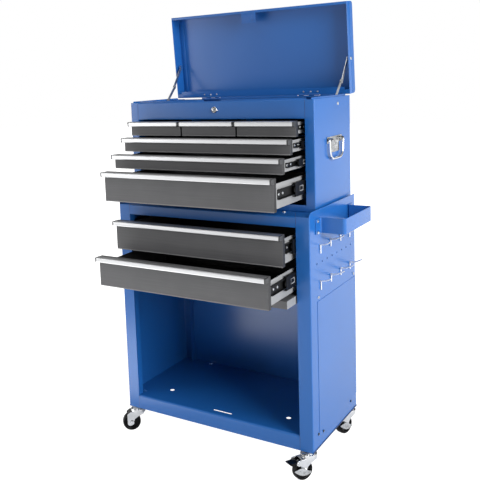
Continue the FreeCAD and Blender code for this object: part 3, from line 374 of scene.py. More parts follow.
# Round wire bent along a line of points, each inner corner rounded over its own reach.
def bentWire(points, radius, bends):
    line = [Vector(points[0])]
    for before, corner, after, bend in zip(points, points[1:], points[2:], bends):
        corner = Vector(corner)
        back, onward = Vector(before) - corner, Vector(after) - corner
        start = corner + back.normalized() * min(bend, back.length / 2)
        end = corner + onward.normalized() * min(bend, onward.length / 2)
        for share in (0, 0.2, 0.4, 0.6, 0.8, 1):
            line.append(start * (1 - share) ** 2 + corner * 2 * share * (1 - share) + end * share ** 2)
    line.append(Vector(points[-1]))
    curve = bpy.data.curves.new("wireLine", "CURVE")
    curve.dimensions = "3D"
    curve.bevel_depth = radius
    curve.bevel_resolution = 3
    curve.use_fill_caps = True
    spline = curve.splines.new("POLY")
    spline.points.add(len(line) - 1)
    for point, spot in zip(spline.points, line):
        point.co = (*spot, 1)
    holder = bpy.data.objects.new("wireLine", curve)
    mesh = bpy.data.meshes.new_from_object(holder)
    shape = bmesh.new()
    shape.from_mesh(mesh)
    bpy.data.objects.remove(holder)
    bpy.data.meshes.remove(mesh)
    bpy.data.curves.remove(curve)
    bmesh.ops.remove_doubles(shape, verts=shape.verts, dist=toolLook["weldMm"])
    bmesh.ops.recalc_face_normals(shape, faces=shape.faces)
    return shape


# The boxes of a node's separate solids.
def islands(node):
    shape = mergedCopy(node)
    left, boxes = set(shape.verts), []
    while left:
        group, front = [], [left.pop()]
        while front:
            vert = front.pop()
            group.append(vert.co.copy())
            for edge in vert.link_edges:
                other = edge.other_vert(vert)
                if other in left:
                    left.remove(other)
                    front.append(other)
        low, high = ([pick(axis) for axis in zip(*group)] for pick in (min, max))
        boxes.append((Vector(low), Vector(high)))
    shape.free()
    return boxes


# Drawers: the trays and pulls keep their construction shape and get softened folds and their own finishes.
# From frontThick on, the values are distances that tell a tray's front, floor, walls and slide members apart.
drawerLook = {"foldSoft": 0.5, "gripSoft": 0.35, "capLong": 3.5, "screwsBehind": (40, 61),
              "screw": (3.4, 1.9), "screwTurn": 20,
              "hem": ((-0.35, 0.2), (-0.35, 2.6), (0.4, 2.6), (0.4, 0.6), (3.2, 0.6), (3.2, 0), (0, 0)),
              "hemShort": 1.5, "hemSoft": 0.15, "webThick": 0.7, "webRim": 1.3, "webShort": 1, "webSoft": 0.2,
              "frontThick": 12, "frontSkin": 0.05, "past": 1, "floorBand": 0.2, "outside": 0.1, "inside": 0.5,
              "member": 2}
smallWords = ("small_a", "small_b", "small_c")
slideWords = ("wide_a", "wide_b", "deep_a", "deep_b", "deep_c")


def drawerFacts(word):
    points = [vert.co for vert in nodes["drawer_%s_tray" % word].data.vertices]
    front = min(point.y for point in points)
    behind = [point
              for point in points if point.y > front + (drawerLook["frontThick"] + drawerLook["past"]) * mm]
    bottom = min(point.z for point in behind)
    foot = [point.x for point in behind if point.z < bottom + drawerLook["floorBand"] * mm]
    member = [point for point in behind if point.x > max(foot) + drawerLook["member"] * mm]
    memberLow, memberHigh = min(point.z for point in member), max(point.z for point in member)
    return {"front": front, "bottom": bottom, "left": min(foot), "right": max(foot),
            "back": max(point.y for point in behind), "low": min(point.z for point in points),
            "wideLow": min(point.x for point in points), "wideHigh": max(point.x for point in points),
            "memberTall": memberHigh - memberLow, "memberLevel": (memberLow + memberHigh) / 2,
            "memberStart": min(point.y for point in member), "memberEnd": max(point.y for point in member)}


def dressTray(word, facts):
    name = "drawer_%s_tray" % word
    shape = mergedCopy(name)
    frontEnd = facts["front"] + (drawerLook["frontThick"] + drawerLook["frontSkin"]) * mm
    outside, inside = drawerLook["outside"] * mm, drawerLook["inside"] * mm
    # Painted light and shade: the fronts' side returns and the trays' insides take the near-black charcoal
    # for shade, and the outer sides take the pale grey for the side lamp's light; the slide members are
    # black.
    front, side, dark, black = range(4)
    for face in shape.faces:
        spot = face.calc_center_median()
        if spot.y < frontEnd:
            face.material_index = dark if abs(face.normal.x) > toolLook["facing"] else front
        elif spot.x < facts["left"] - outside or spot.x > facts["right"] + outside:
            face.material_index = black
        elif (facts["left"] + inside < spot.x < facts["right"] - inside and spot.y < facts["back"] - inside
              and spot.z > facts["bottom"] + inside):
            face.material_index = dark
        else:
            face.material_index = side
    piece = newPiece("drawer_%s_shell" % word, shape, (charcoalEnamel, greyCagesAndLitSides, shadedCharcoal, dipCoat),
                     "drawer_" + word, (name,))
    roundFolds(piece, "foldedEdge", drawerLook["foldSoft"])


def dressPull(word):
    name = "drawer_%s_pull" % word
    low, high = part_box(name)
    shape = mergedCopy(name)
    cap = drawerLook["capLong"] * mm
    for end in (low.x + cap, high.x - cap):
        bmesh.ops.bisect_plane(shape, geom=shape.verts[:] + shape.edges[:] + shape.faces[:],
                               dist=toolLook["weld"], plane_co=(end, 0, 0), plane_no=(1, 0, 0))
    for face in shape.faces:
        spot = face.calc_center_median()
        face.material_index = 1 if min(spot.x - low.x, high.x - spot.x) < cap else 0
    piece = newPiece("drawer_%s_grip" % word, shape, (pullStrip, capPlastic), "drawer_" + word,
                     (name,))
    roundFolds(piece, "rolledEdge", drawerLook["gripSoft"])


# The front's lower hem, folded back on itself: a slim round-nosed strip, drawn paler as a painted highlight.
def addHem(word, facts):
    half = ((facts["wideHigh"] - facts["wideLow"]) / mm - drawerLook["hemShort"]) / 2
    shape = rotated(raised(drawerLook["hem"], -half, half, drawerLook["hemSoft"]), pi / 2, "X")
    centre = Vector(((facts["wideLow"] + facts["wideHigh"]) / 2, facts["front"], facts["low"]))
    newPiece("drawer_%s_hem" % word, placed(rotated(shape, pi / 2, "Z"), centre), (hemHighlight,),
             "drawer_" + word)


# The web of the rolled member on each side of a drawer, with its round nose.
def addMemberWebs(word, facts):
    half = facts["memberTall"] / 2 / mm - drawerLook["webRim"]
    long = (facts["memberEnd"] - facts["memberStart"]) / mm - drawerLook["webShort"]
    nose = [((1 - cos(radians(turn))) * half * 0.5, sin(radians(turn)) * half) for turn in range(-90, 91, 18)]
    start = facts["memberStart"] + drawerLook["webShort"] / 2 * mm
    webs = []
    for edge, way in ((facts["left"], -1), (facts["right"], 1)):
        plate = raised(nose + [(long, half), (long, -half)], 0, drawerLook["webThick"], drawerLook["webSoft"])
        webs.append(placed(sideways(plate, way), Vector((edge, start, facts["memberLevel"]))))
    newPiece("drawer_%s_webs" % word, joined(webs), (dipCoat,), "drawer_" + word)


def addMemberScrews(word, facts):
    heads = []
    for edge, way in ((facts["left"], -1), (facts["right"], 1)):
        for behind in drawerLook["screwsBehind"]:
            spot = Vector((edge + way * drawerLook["webThick"] * mm, facts["front"] + behind * mm,
                           facts["memberLevel"]))
            heads.append(placed(crossScrew(*drawerLook["screw"]), spot, (way, 0, 0),
                                radians(drawerLook["screwTurn"])))
    newPiece("drawer_%s_screws" % word, joined(heads), (zincPlate,), "drawer_" + word)


# Between the slide members: a plastic bumper on the intermediate's nose, the ball cage's frame behind it with
# a dark window, and the balls along both edges.
slideLook = {"halfTall": 8.5, "rim": 1.6, "bumper": (-6.0, -1.3), "bumperDeep": 7.8, "bumperSoft": 0.5,
             "noseShare": 0.55, "cageBehind": 24, "cageHalf": 10, "cageHalfTall": 6.5, "cageRim": 2,
             "cageThick": 0.55, "cageBar": 2.4, "windowDeep": 0.45, "ballRadius": 1.6, "ballStart": 24,
             "ballStep": 9, "ballCount": 12, "ballIn": 5, "ballEdge": 3.0}


def slideBumper(half):
    deep = slideLook["bumperDeep"]
    nose = [(cos(radians(turn)) * half, sin(radians(turn)) * half) for turn in range(90, 271, 15)]
    return raised([(deep, half)] + nose + [(deep, -half)], *slideLook["bumper"], slideLook["bumperSoft"])


def slideCage(half):
    long, tall = slideLook["cageHalf"], min(half - slideLook["cageRim"], slideLook["cageHalfTall"])
    shape = raised([(-long, -tall), (long, -tall), (long, tall), (-long, tall)], 0, slideLook["cageThick"])
    window = max(shape.faces, key=lambda face: face.calc_center_median().z)
    bmesh.ops.inset_individual(shape, faces=[window], thickness=slideLook["cageBar"])
    bmesh.ops.translate(shape, vec=(0, 0, -slideLook["windowDeep"]), verts=window.verts)
    window.material_index = 1
    return shape


def slideBall():
    ball = bmesh.new()
    bmesh.ops.create_uvsphere(ball, u_segments=12, v_segments=8, radius=slideLook["ballRadius"])
    return ball


def addSlideDetail(word):
    node = "slide_middle_" + word
    low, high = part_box(node)
    tall = (high.z - low.z) / mm
    level = (high.z + low.z) / 2
    half = min(tall / 2 - slideLook["rim"], slideLook["halfTall"])
    bumpers, cages, balls = [], [], []
    for way, web in ((-1, low.x), (1, high.x)):
        spot = Vector((web, low.y + half * slideLook["noseShare"] * mm, level))
        bumpers.append(placed(sideways(slideBumper(half), way), spot))
        spot = Vector((web, low.y + (slideLook["cageBehind"] + slideLook["cageHalf"]) * mm, level))
        cages.append(placed(sideways(slideCage(half), way), spot))
        for count in range(slideLook["ballCount"]):
            for edge in (-1, 1):
                behind = slideLook["ballStart"] + count * slideLook["ballStep"]
                centre = Vector((web - way * slideLook["ballIn"] * mm, low.y + behind * mm,
                                 level + edge * (tall / 2 - slideLook["ballEdge"]) * mm))
                balls.append(placed(slideBall(), centre))
    newPiece("bumpers_" + word, joined(bumpers), (blackTread,), node)
    newPiece("cages_" + word, joined(cages), (greyCagesAndLitSides, dipCoat), node)
    newPiece("balls_" + word, joined(balls), (chromePlate,), node)


for word in smallWords + slideWords:
    facts = drawerFacts(word)
    dressTray(word, facts)
    dressPull(word)
    addHem(word, facts)
    addMemberWebs(word, facts)
    addMemberScrews(word, facts)
    if word in slideWords:
        addSlideDetail(word)
print("drawers dressed")

# Casters: turned wheels with a hub and a crowned tread, forks with rounded stamping edges.
wheelLook = {"radius": 25.4, "half": 10.5, "bore": 4.05, "steps": 64, "forkSoft": 0.5}
joints = {joint["name"]: joint for joint in frame["joints"]}


def addWheel(corner):
    name = "caster_wheel_" + corner
    low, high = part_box(name)
    radius, half, bore = wheelLook["radius"], wheelLook["half"], wheelLook["bore"]
    side = [(bore, half - 2.2), (8, half - 2.2), (8.6, half - 2.8), (8.8, half - 4.2), (16, half - 4.2),
            (17, half - 1.4), (18, half - 0.5), (20, half - 0.2), (20.6, half - 0.9), (21.2, half - 0.2),
            (radius - 2, half - 0.8), (radius - 0.7, half - 2.4), (radius - 0.1, half - 5),
            (radius, half - 8)]
    profile = [(r, -h) for r, h in side] + [(r, h) for r, h in side[::-1]] + [(bore, -side[0][1])]
    wheel = placed(turned(profile, wheelLook["steps"]), (low + high) / 2,
                   joints["wheel_%s_roll" % corner]["axis"])
    newPiece(name + "_turned", wheel, (blackTread,), "wheel_" + corner, (name,))


for corner in ("front_left", "front_right", "rear_left", "rear_right"):
    addWheel(corner)
    softCopy("caster_fork_" + corner, wheelLook["forkSoft"], (chromePlate,), "caster_" + corner)
print("casters dressed")

# Sheet-metal bodies: the same folds as in construction, with the paint's rounding on every cut edge.
sheetLook = {"soft": 0.45, "doorSoft": 0.5}
for name in ("cabinet_left_wall", "cabinet_right_wall", "cabinet_back_panel", "floor_pan", "cabinet_deck",
             "push_handle", "chest_left_wall", "chest_right_wall", "chest_back_panel", "chest_shelves",
             "lock_fascia"):
    softCopy(name, sheetLook["soft"], (blueEnamel,), "cabinet")
softCopy("lid_shell", sheetLook["soft"], (blueEnamel,), "lid")
print("sheets softened")


# The stowed door: charcoal faces, and its ends facing the sides in pale grey as painted light from the side
# lamp.
def dressDoor():
    name = "compartment_door"
    shape = mergedCopy(name)
    for face in shape.faces:
        face.material_index = 1 if abs(face.normal.x) > toolLook["facing"] else 0
    door = newPiece(name + "_soft", shape, (charcoalEnamel, greyCagesAndLitSides), "bay_door",
                    (name,))
    roundFolds(door, "foldedEdge", sheetLook["doorSoft"])


# Brake levers: a dipped black toe, and a bright pressed arm with two bosses that curves round beside the
# wheel. The arm's outline and bosses are drawn from the wheel's centre, and forkBelow tells the fork's sides
# from its top.
pedalLook = {"arm": ((36, 11), (20, 13), (7, 12), (-5, 3), (-13, 0), (-12, -5), (0, -8), (12, -6.5), (24, 0),
                     (33, 7)), "armThick": 1.2, "gap": 0.6, "soft": 0.3, "toeSoft": 0.4,
             "boss": ((0, 0.3), (1.32, 0.3), (1.76, 1.0), (2.2, 0)), "bossPlaces": ((20, 6), (7, 0)),
             "forkBelow": 12}


def dressPedal(corner):
    name = "brake_pedal_" + corner
    softCopy(name, pedalLook["toeSoft"], (blackTread,), name, "_toe")
    axis = Vector(joints["wheel_%s_roll" % corner]["axis"]).normalized()
    axis *= 1 if axis.x > 0 else -1
    low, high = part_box("caster_wheel_" + corner)
    hub = (low + high) / 2
    onward = axis.cross(Vector((0, 0, 1)))
    pivot = Vector(joints[name + "_press"]["pos_m"])
    onward *= 1 if (pivot - hub).dot(onward) > 0 else -1
    top = hub.z + pedalLook["forkBelow"] * mm
    beside = [(vert.co - hub).dot(axis)
              for vert in nodes["caster_fork_" + corner].data.vertices if vert.co.z < top]
    foot = hub + axis * (max(beside) + pedalLook["gap"] * mm)
    shapes = [raised(pedalLook["arm"], 0, pedalLook["armThick"], pedalLook["soft"])]
    for u, v in pedalLook["bossPlaces"]:
        boss = turned(pedalLook["boss"], 16)
        bmesh.ops.translate(boss, vec=(u, v, pedalLook["armThick"]), verts=boss.verts)
        shapes.append(boss)
    whole = joined(shapes)
    turn = Matrix((onward, Vector((0, 0, 1)), axis)).transposed().to_4x4()
    bmesh.ops.transform(whole, matrix=Matrix.Translation(foot) @ turn @ Matrix.Scale(mm, 4),
                        verts=whole.verts)
    bmesh.ops.recalc_face_normals(whole, faces=whole.faces)
    newPiece(name + "_arm", whole, (zincPlate,), name)


dressDoor()
dressPedal("front_right")
dressPedal("rear_right")

# Hooks and bails: bright round wire with soft bends. A single hook reaches out and up in three points, a
# double one comes back beside itself; places run from the front, and singles are (row, place).
hookLook = {"levels": (508, 418), "places": (60, 126, 192, 258),
            "singles": ((0, 0), (0, 3), (1, 0)), "wire": 1.5, "stand": 2.1, "root": 5, "legs": (17, 21),
            "apart": 5, "arm": ((0, 0), (16, 3), (24, 8)), "loop": ((32, 11), (16, 3), (0, 0)),
            "legBends": (2.5,), "armBends": (5,), "loopBends": (6, 2.5, 2.5, 6)}


def addHooks():
    shapes = []
    near, wire = halfWidth + hookLook["stand"], hookLook["wire"]
    for row, level in enumerate(hookLook["levels"]):
        for count, place in enumerate(hookLook["places"]):
            single = (row, count) in hookLook["singles"]
            leg = [(near - hookLook["root"], place, level), (near, place, level),
                   (near, place, level - hookLook["legs"][single])]
            shapes.append(bentWire(leg, wire, hookLook["legBends"]))
            if single:
                arm = [(near + out, place, level + up) for out, up in hookLook["arm"]]
                shapes.append(bentWire(arm, wire, hookLook["armBends"]))
                continue
            side, apart = hookLook["loop"], hookLook["apart"]
            arms = [(near + out, place - apart, level + up) for out, up in side]
            arms += [(near + out, place + apart, level + up) for out, up in side[::-1]]
            shapes.append(bentWire(arms, wire, hookLook["loopBends"]))
    newPiece("side_hooks_wire", placed(joined(shapes), at(0, 0, 0)), (paleWire,), "cabinet",
             ("side_hooks",))


bailLook = {"half": 46, "lug": 16, "taper": 4, "drop": 47, "wire": 3, "centre": (186, 753), "stand": 277,
            "bends": (4, 26, 26, 4)}


def addBail(word, side):
    half, (middle, level) = bailLook["half"], bailLook["centre"]
    x, lug = side * bailLook["stand"], half - bailLook["lug"]
    foot, low = half - bailLook["taper"], level - bailLook["drop"]
    ring = [(x, middle - lug, level), (x, middle - half, level), (x, middle - foot, low),
            (x, middle + foot, low), (x, middle + half, level), (x, middle + lug, level)]
    name = "bail_" + word
    wire = placed(bentWire(ring, bailLook["wire"], bailLook["bends"]), at(0, 0, 0))
    newPiece(name + "_wire", wire, (chromePlate,), name, (name,))


addHooks()
addBail("left", -1)
addBail("right", 1)
print("wire bent")

# Lock: a turned bezel with its nut behind the fascia, a stud beside it, and the plug's face with its key slot
# painted black: painted shade for the deep keyway.
lockLook = {"centre": (-2.3, 62, 836.4), "bezel": 8.2, "face": 5.9, "slack": 0.15, "behind": -20,
            "slot": (1.4, 3.6), "slotDeep": 0.5, "faceOut": -2.0, "faceTall": 0.6, "nut": 12,
            "nutSpan": (-5, -1), "nutSoft": 0.5, "stud": ((0, 2.6), (0.9, 2.4), (1.6, 1.5), (1.8, 0)),
            "studPlace": (9.4, 0, -1.2), "slotFaces": 1.05}


def addLock():
    centre = at(*lockLook["centre"])
    rim, face, behind = lockLook["bezel"], lockLook["face"], lockLook["behind"]
    hole = face + lockLook["slack"]
    ring = [(hole, behind), (hole, 1.6), (face + 0.6, 2.6), (rim - 0.8, 3.0), (rim - 0.2, 2.4), (rim, 1.2),
            (rim, 0), (rim - 0.3, 0), (rim - 0.3, behind), (hole, behind)]
    hexagon = [(lockLook["nut"] * cos(radians(turn)), lockLook["nut"] * sin(radians(turn)))
               for turn in range(0, 360, 60)]
    shapes = [placed(turned(ring, 48), centre, (0, -1, 0)),
              placed(raised(hexagon, *lockLook["nutSpan"], lockLook["nutSoft"]), centre, (0, -1, 0)),
              placed(turned(lockLook["stud"], 20), centre + Vector(lockLook["studPlace"]) * mm, (0, -1, 0))]
    newPiece("lock_bezel", joined(shapes), (chromePlate,), "cabinet", ("lock_housing",))
    wide, tall = lockLook["slot"]
    slot = [(wide, -tall), (wide, tall), (-wide, tall), (-wide, -tall)]
    head = sunkHead(face, lockLook["faceTall"], slot, lockLook["slotDeep"])
    plate = placed(head, centre + Vector((0, lockLook["faceOut"], 0)) * mm, (0, -1, 0))
    top = (lockLook["faceOut"] - lockLook["faceTall"] + 0.05) * mm
    wide, tall = wide * lockLook["slotFaces"] * mm, tall * lockLook["slotFaces"] * mm
    # The key slot's faces take the black finish as painted shade.
    for side in plate.faces:
        spot = side.calc_center_median() - centre
        side.material_index = 1 if abs(spot.x) < wide and abs(spot.z) < tall and spot.y > top else 0
    newPiece("lock_face", plate, (nickelPlate, blackTread), "lock_plug")


addLock()

# Heads over the plain fasteners: cross-recess screws in the walls, set rivets on handle, bails, stays and
# hinges. Each size is a radius and a height. The limits are what tells the solids apart by their length and
# height.
headLook = {"screw": (3.4, 1.95), "screwTurn": 15, "floorScrew": (4.2, 2.1), "rivet": (4.2, 1.9),
            "smallRivet": (3.4, 1.6), "handleRivet": (4.3, 1.9), "handleIn": 1.25, "lidRivet": (2.5, 1.3),
            "pivotRivet": (4.3, 1.6), "pivotIn": 0.65, "floorLine": 60}
headLimits = {"flat": 3, "wide": 6, "handle": 4, "screw": 1.7, "rivetTall": 7, "pivotOff": 0.25,
              "pivotLong": 20}
hinge = {"y": 302, "z": 862.5, "open": -85.4, "front": -237.5, "rear": 1.5, "high": 40, "half": 270.5}


# A fastener's size in mm, its centre, the side it faces and its outermost X.
def outward(low, high):
    centre = (low + high) / 2
    way = 1 if centre.x > origin.x else -1
    return (high - low) / mm, centre, way, high.x if way > 0 else low.x


def sideHead(head, x, centre, way, turn=0):
    return placed(head, Vector((x, centre.y, centre.z)), (way, 0, 0), radians(turn))


def addHeads():
    bright, dark, rivets = [], [], []
    for low, high in islands("cabinet_fasteners"):
        long, centre, way, outer = outward(low, high)
        foot = outer - way * long.x * mm
        if long.z < headLimits["flat"] and long.x > headLimits["wide"]:
            bright.append(placed(crossScrew(*headLook["floorScrew"]), Vector((centre.x, centre.y, low.z))))
        elif long.x > headLimits["handle"]:
            inner = outer - way * headLook["handleIn"] * mm
            rivets.append(sideHead(rivetHead(*headLook["handleRivet"]), inner, centre, way))
        elif long.x > headLimits["screw"]:
            rank = dark if (centre.z - origin.z) / mm < headLook["floorLine"] else bright
            rank.append(sideHead(crossScrew(*headLook["screw"]), foot, centre, way, headLook["screwTurn"]))
        else:
            size = headLook["rivet"] if long.z > headLimits["rivetTall"] else headLook["smallRivet"]
            rivets.append(sideHead(rivetHead(*size), foot, centre, way))
    newPiece("wall_screws", joined(bright), (zincPlate,), "cabinet")
    newPiece("foot_screws", joined(dark), (blackTread,), "cabinet")
    newPiece("set_rivets", joined(rivets), (zincPlate,), "cabinet")


addHeads()


# Into the lid's own frame: drawn closed about the hinge line and then turned open.
def opened(shape):
    return placed(rotated(shape, radians(hinge["open"]), "X"), at(0, hinge["y"], hinge["z"]))


# Ribs on the strike tab, rivets over the hinge leaves and a turned-in flange at each end. The tab and its
# slot are spans along X and Y, and ribSpan runs from the lid's front.
lidLook = {"ribs": 10, "ribWide": 2.2, "ribSpan": (8, 33.4), "rib": (-2.0, -1.2), "ribSoft": 0.25,
           "tab": (-36, 8), "slot": (-212.2, -207.8), "slotStart": -9.8,
           "rivets": ((134, 154, 175), (140, 161, 181)), "rivetY": -7.5, "flange": 14, "flangeIn": 1.2,
           "flangeShort": 12, "flangeSpan": (-2.3, -1.05), "flangeSoft": 0.4}


def block(x1, x2, y1, y2, low, high, soft=0.0):
    return raised([(x1, y1), (x2, y1), (x2, y2), (x1, y2)], low, high, soft)


def addLidDetail():
    ribs, heads, strips, ends = [], [], [], []
    start, end = lidLook["tab"]
    step = (end - start) / lidLook["ribs"]
    near, far = (hinge["front"] + reach for reach in lidLook["ribSpan"])
    for count in range(lidLook["ribs"]):
        low = start + (count + 0.5) * step - lidLook["ribWide"] / 2
        high = low + lidLook["ribWide"]
        cut = high > lidLook["slotStart"]
        for y1, y2 in ((near, lidLook["slot"][0]), (lidLook["slot"][1], far)) if cut else ((near, far),):
            ribs.append(block(low, high, y1, y2, *lidLook["rib"], lidLook["ribSoft"]))
    newPiece("strike_ribs", opened(joined(ribs)), (blueEnamel,), "lid")
    for side, places in zip((-1, 1), lidLook["rivets"]):
        for place in places:
            head = rotated(rivetHead(*headLook["lidRivet"]), pi, "X")
            bmesh.ops.translate(head, vec=(side * place, lidLook["rivetY"], 0), verts=head.verts)
            heads.append(head)
    newPiece("hinge_rivets", opened(joined(heads)), (zincPlate,), "lid")
    outer = hinge["half"] - lidLook["flangeIn"]
    low, high = (hinge["high"] + up for up in lidLook["flangeSpan"])
    for side in (-1, 1):
        x1, x2 = sorted((side * outer, side * (outer - lidLook["flange"])))
        y1, y2 = hinge["front"] + lidLook["flangeShort"], hinge["rear"] - lidLook["flangeShort"]
        strips.append(block(x1, x2, y1, y2, low, high, lidLook["flangeSoft"]))
    newPiece("lid_end_flanges", opened(joined(strips)), (blueEnamel,), "lid")
    for low, high in islands("lid_hardware"):
        long, centre, way, outer = outward(low, high)
        if abs(centre.x - origin.x) > headLimits["pivotOff"] and long.x < headLimits["pivotLong"]:
            inner = outer - way * headLook["pivotIn"] * mm
            ends.append(sideHead(rivetHead(*headLook["pivotRivet"]), inner, centre, way))
    newPiece("lid_pivot_rivets", joined(ends), (zincPlate,), "lid")


addLidDetail()

# Painted shade: the dark strips beside the fascia and the posts and under the cabinet's walls stand for the
# shade in those seams; and the plug in the bay's floor. A run is half a width, the front's place and two
# levels; foot is the depth and height under a wall, which stands out further on the right, over the access
# panel.
seamLook = {"wide": 0.9, "span": (-0.3, 0.08),
            "runs": ((246.5, 62, 813, 857), (245, 0, 560, 595), (245, 0, 1, 37)),
            "foot": (302, 3.0), "footIn": -0.2, "footOut": {-1: 0.25, 1: 1.0}, "plugPlace": (-249, 34, 38.5),
            "plug": ((0, 0.6), (2.6, 0.6), (3.1, 1.6), (5.2, 1.8), (6.8, 1.1), (7.2, 0))}


def addSeams():
    strips = []
    wide = seamLook["wide"] / 2
    for half, front, low, high in seamLook["runs"]:
        for middle in (-half, half):
            shape = rotated(block(middle - wide, middle + wide, low, high, *seamLook["span"]), pi / 2, "X")
            strips.append(placed(shape, at(0, front, 0)))
    deep, tall = seamLook["foot"]
    for way, proud in seamLook["footOut"].items():
        shape = sideways(block(0, deep, 0, tall, seamLook["footIn"], proud), way)
        strips.append(placed(shape, at(way * halfWidth, 0, 0)))
    newPiece("paint_seams", joined(strips), (seamShade,), "cabinet")
    plug = placed(turned(seamLook["plug"], 32), at(*seamLook["plugPlace"]))
    newPiece("floor_plug", plug, (blueEnamel,), "cabinet")


addSeams()
print("small parts added")

# Floor, world and lamps. Reaches are distances from the floor's middle in metres, and room holds the heights
# and shades of the bands that only reflections see.
stageLook = {"floorHalf": 12.0, "floor": "#f4f4f4", "floorRough": 0.9, "shadowKept": 0.3, "glow": 1.5,
             "shadowReach": (0.7, 1.8), "mirrorReach": (0.3, 0.7), "mirrorKept": 0.12, "world": 0.2,
             "room": ((0.02, 0.7), (0.16, 0.25), (0.3, 0.08), (0.5, 0.12), (0.65, 0.8), (0.95, 0.35))}


# The floor glows white where it is seen, and keeps part of its real shading near the object for the shadow.
def whiteFloor():
    material, tree, shader, place = newFinish("studioPaper")
    shader.inputs["Base Color"].default_value = linear(stageLook["floor"])
    shader.inputs["Roughness"].default_value = stageLook["floorRough"]
    rays = addNode(tree, "ShaderNodeLightPath")
    away = addNode(tree, "ShaderNodeVectorMath", {"operation": "LENGTH"}, links={0: place})
    inner, outer = stageLook["mirrorReach"]
    mirror = addNode(tree, "ShaderNodeMapRange", links={"Value": away.outputs["Value"]},
                     values={"From Min": inner, "From Max": outer, "To Min": stageLook["mirrorKept"],
                             "To Max": 1.0})
    shiny = addNode(tree, "ShaderNodeMath", {"operation": "MULTIPLY"},
                    links={0: rays.outputs["Is Glossy Ray"], 1: mirror.outputs["Result"]})
    seen = addNode(tree, "ShaderNodeMath", {"operation": "MAXIMUM"},
                   links={0: rays.outputs["Is Camera Ray"], 1: shiny.outputs[0]})
    near, far = stageLook["shadowReach"]
    fade = addNode(tree, "ShaderNodeMapRange", links={"Value": away.outputs["Value"]},
                   values={"From Min": near, "From Max": far, "To Min": 1 - stageLook["shadowKept"],
                           "To Max": 1.0})
    share = addNode(tree, "ShaderNodeMath", {"operation": "MULTIPLY"},
                    links={0: seen.outputs[0], 1: fade.outputs["Result"]})
    glow = addNode(tree, "ShaderNodeEmission", values={"Color": (1, 1, 1, 1), "Strength": stageLook["glow"]})
    mixed = addNode(tree, "ShaderNodeMixShader",
                    links={0: share.outputs[0], 1: shader.outputs["BSDF"], 2: glow.outputs["Emission"]})
    tree.links.new(mixed.outputs["Shader"], tree.nodes["Material Output"].inputs["Surface"])
    return material


def addFloor():
    floor = bmesh.new()
    bmesh.ops.create_grid(floor, x_segments=1, y_segments=1, size=stageLook["floorHalf"])
    mesh = bpy.data.meshes.new("studioFloor")
    floor.to_mesh(mesh)
    floor.free()
    piece = bpy.data.objects.new("studioFloor", mesh)
    bpy.context.scene.collection.objects.link(piece)
    mesh.materials.append(whiteFloor())


def whiteWorld():
    world = bpy.data.worlds.new("studio")
    bpy.context.scene.world = world
    world.use_nodes = True
    tree = world.node_tree
    tree.nodes.clear()
    rays = addNode(tree, "ShaderNodeLightPath")
    clear = addNode(tree, "ShaderNodeMath", {"operation": "MAXIMUM"},
                    links={0: rays.outputs["Is Camera Ray"], 1: rays.outputs["Is Transmission Ray"]})
    around = addNode(tree, "ShaderNodeTexCoord").outputs["Generated"]
    way = addNode(tree, "ShaderNodeSeparateXYZ", links={0: around})
    bands = addNode(tree, "ShaderNodeValToRGB", links={"Fac": way.outputs["Z"]})
    ramp = bands.color_ramp
    for spot, shade in stageLook["room"]:
        stop = ramp.elements.new(spot)
        stop.color = (shade, shade, shade, 1)
    ramp.elements.remove(ramp.elements[-1])
    ramp.elements.remove(ramp.elements[0])
    shiny = addNode(tree, "ShaderNodeMix", values={"A": stageLook["world"]},
                    links={"Factor": rays.outputs["Is Glossy Ray"], "B": bands.outputs["Color"]})
    level = addNode(tree, "ShaderNodeMix", values={"B": 1.0},
                    links={"Factor": clear.outputs[0], "A": shiny.outputs["Result"]})
    glow = addNode(tree, "ShaderNodeBackground", values={"Color": (1, 1, 1, 1)},
                   links={"Strength": level.outputs["Result"]})
    out = addNode(tree, "ShaderNodeOutputWorld")
    tree.links.new(glow.outputs["Background"], out.inputs["Surface"])


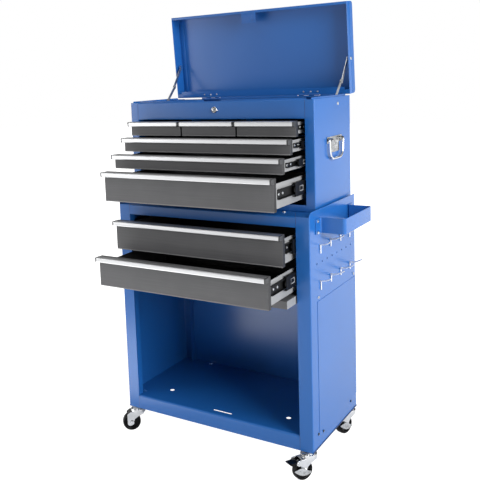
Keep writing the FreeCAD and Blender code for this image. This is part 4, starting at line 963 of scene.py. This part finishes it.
# Place, aim and the soft box's side in metres, power in watts.
lamps = {
    "sideBox": {"place": (2.5, -0.7, 1.5), "aim": (0.1, 0, 0.6), "size": 1.8, "power": 105},
    "leftBox": {"place": (-2.1, -1.8, 0.95), "aim": (-0.2, -0.1, 0.5), "size": 1.0, "power": 14},
    "topBox": {"place": (-0.2, -1.2, 3.0), "aim": (0, 0, 0.5), "size": 1.8, "power": 15},
    "floorBox": {"place": (-0.42, -0.46, 0.02), "aim": (-0.35, -0.36, 1.0), "size": 0.7, "power": 5},
}


def addLamps():
    for name, lamp in lamps.items():
        data = bpy.data.lights.new(name, "AREA")
        data.shape = "SQUARE"
        data.size = lamp["size"]
        data.energy = lamp["power"]
        piece = bpy.data.objects.new(name, data)
        piece.location = lamp["place"]
        way = Vector(lamp["aim"]) - Vector(lamp["place"])
        piece.rotation_euler = way.to_track_quat("-Z", "Y").to_euler()
        bpy.context.scene.collection.objects.link(piece)


# The photograph's camera: turned to the object's right, a little above, and rolled slightly. Angles are in
# degrees and its place in mm; the focal length and the picture's centre are in pixels of the square frame.
view = {"azimuth": 33.77, "height": 7.50, "roll": -2.41, "place": (949.4, -1552.8, 916.3), "focalPx": 725.94,
        "centrePx": (175.79, 175.72), "framePx": 480, "sensorMm": 36, "clipEnd": 100}


def addCamera():
    turn, lift, roll = radians(view["azimuth"]), radians(view["height"]), radians(view["roll"])
    back = Vector((sin(turn) * cos(lift), -cos(turn) * cos(lift), sin(lift)))
    right = Vector((cos(turn), sin(turn), 0))
    up = back.cross(right)
    tiltedRight = right * cos(roll) + up * sin(roll)
    tiltedUp = up * cos(roll) - right * sin(roll)
    data = bpy.data.cameras.new("photoCamera")
    data.sensor_width = view["sensorMm"]
    data.lens = view["focalPx"] / view["framePx"] * view["sensorMm"]
    data.shift_x = (view["framePx"] / 2 - view["centrePx"][0]) / view["framePx"]
    data.shift_y = (view["centrePx"][1] - view["framePx"] / 2) / view["framePx"]
    data.clip_end = view["clipEnd"]
    piece = bpy.data.objects.new("photoCamera", data)
    axes = Matrix((tiltedRight, tiltedUp, back)).transposed().to_4x4()
    piece.matrix_world = Matrix.Translation(at(*view["place"])) @ axes
    bpy.context.scene.collection.objects.link(piece)
    bpy.context.scene.camera = piece


addFloor()
whiteWorld()
addLamps()
addCamera()
bpy.context.scene.view_settings.view_transform = "Standard"
print("stage set")
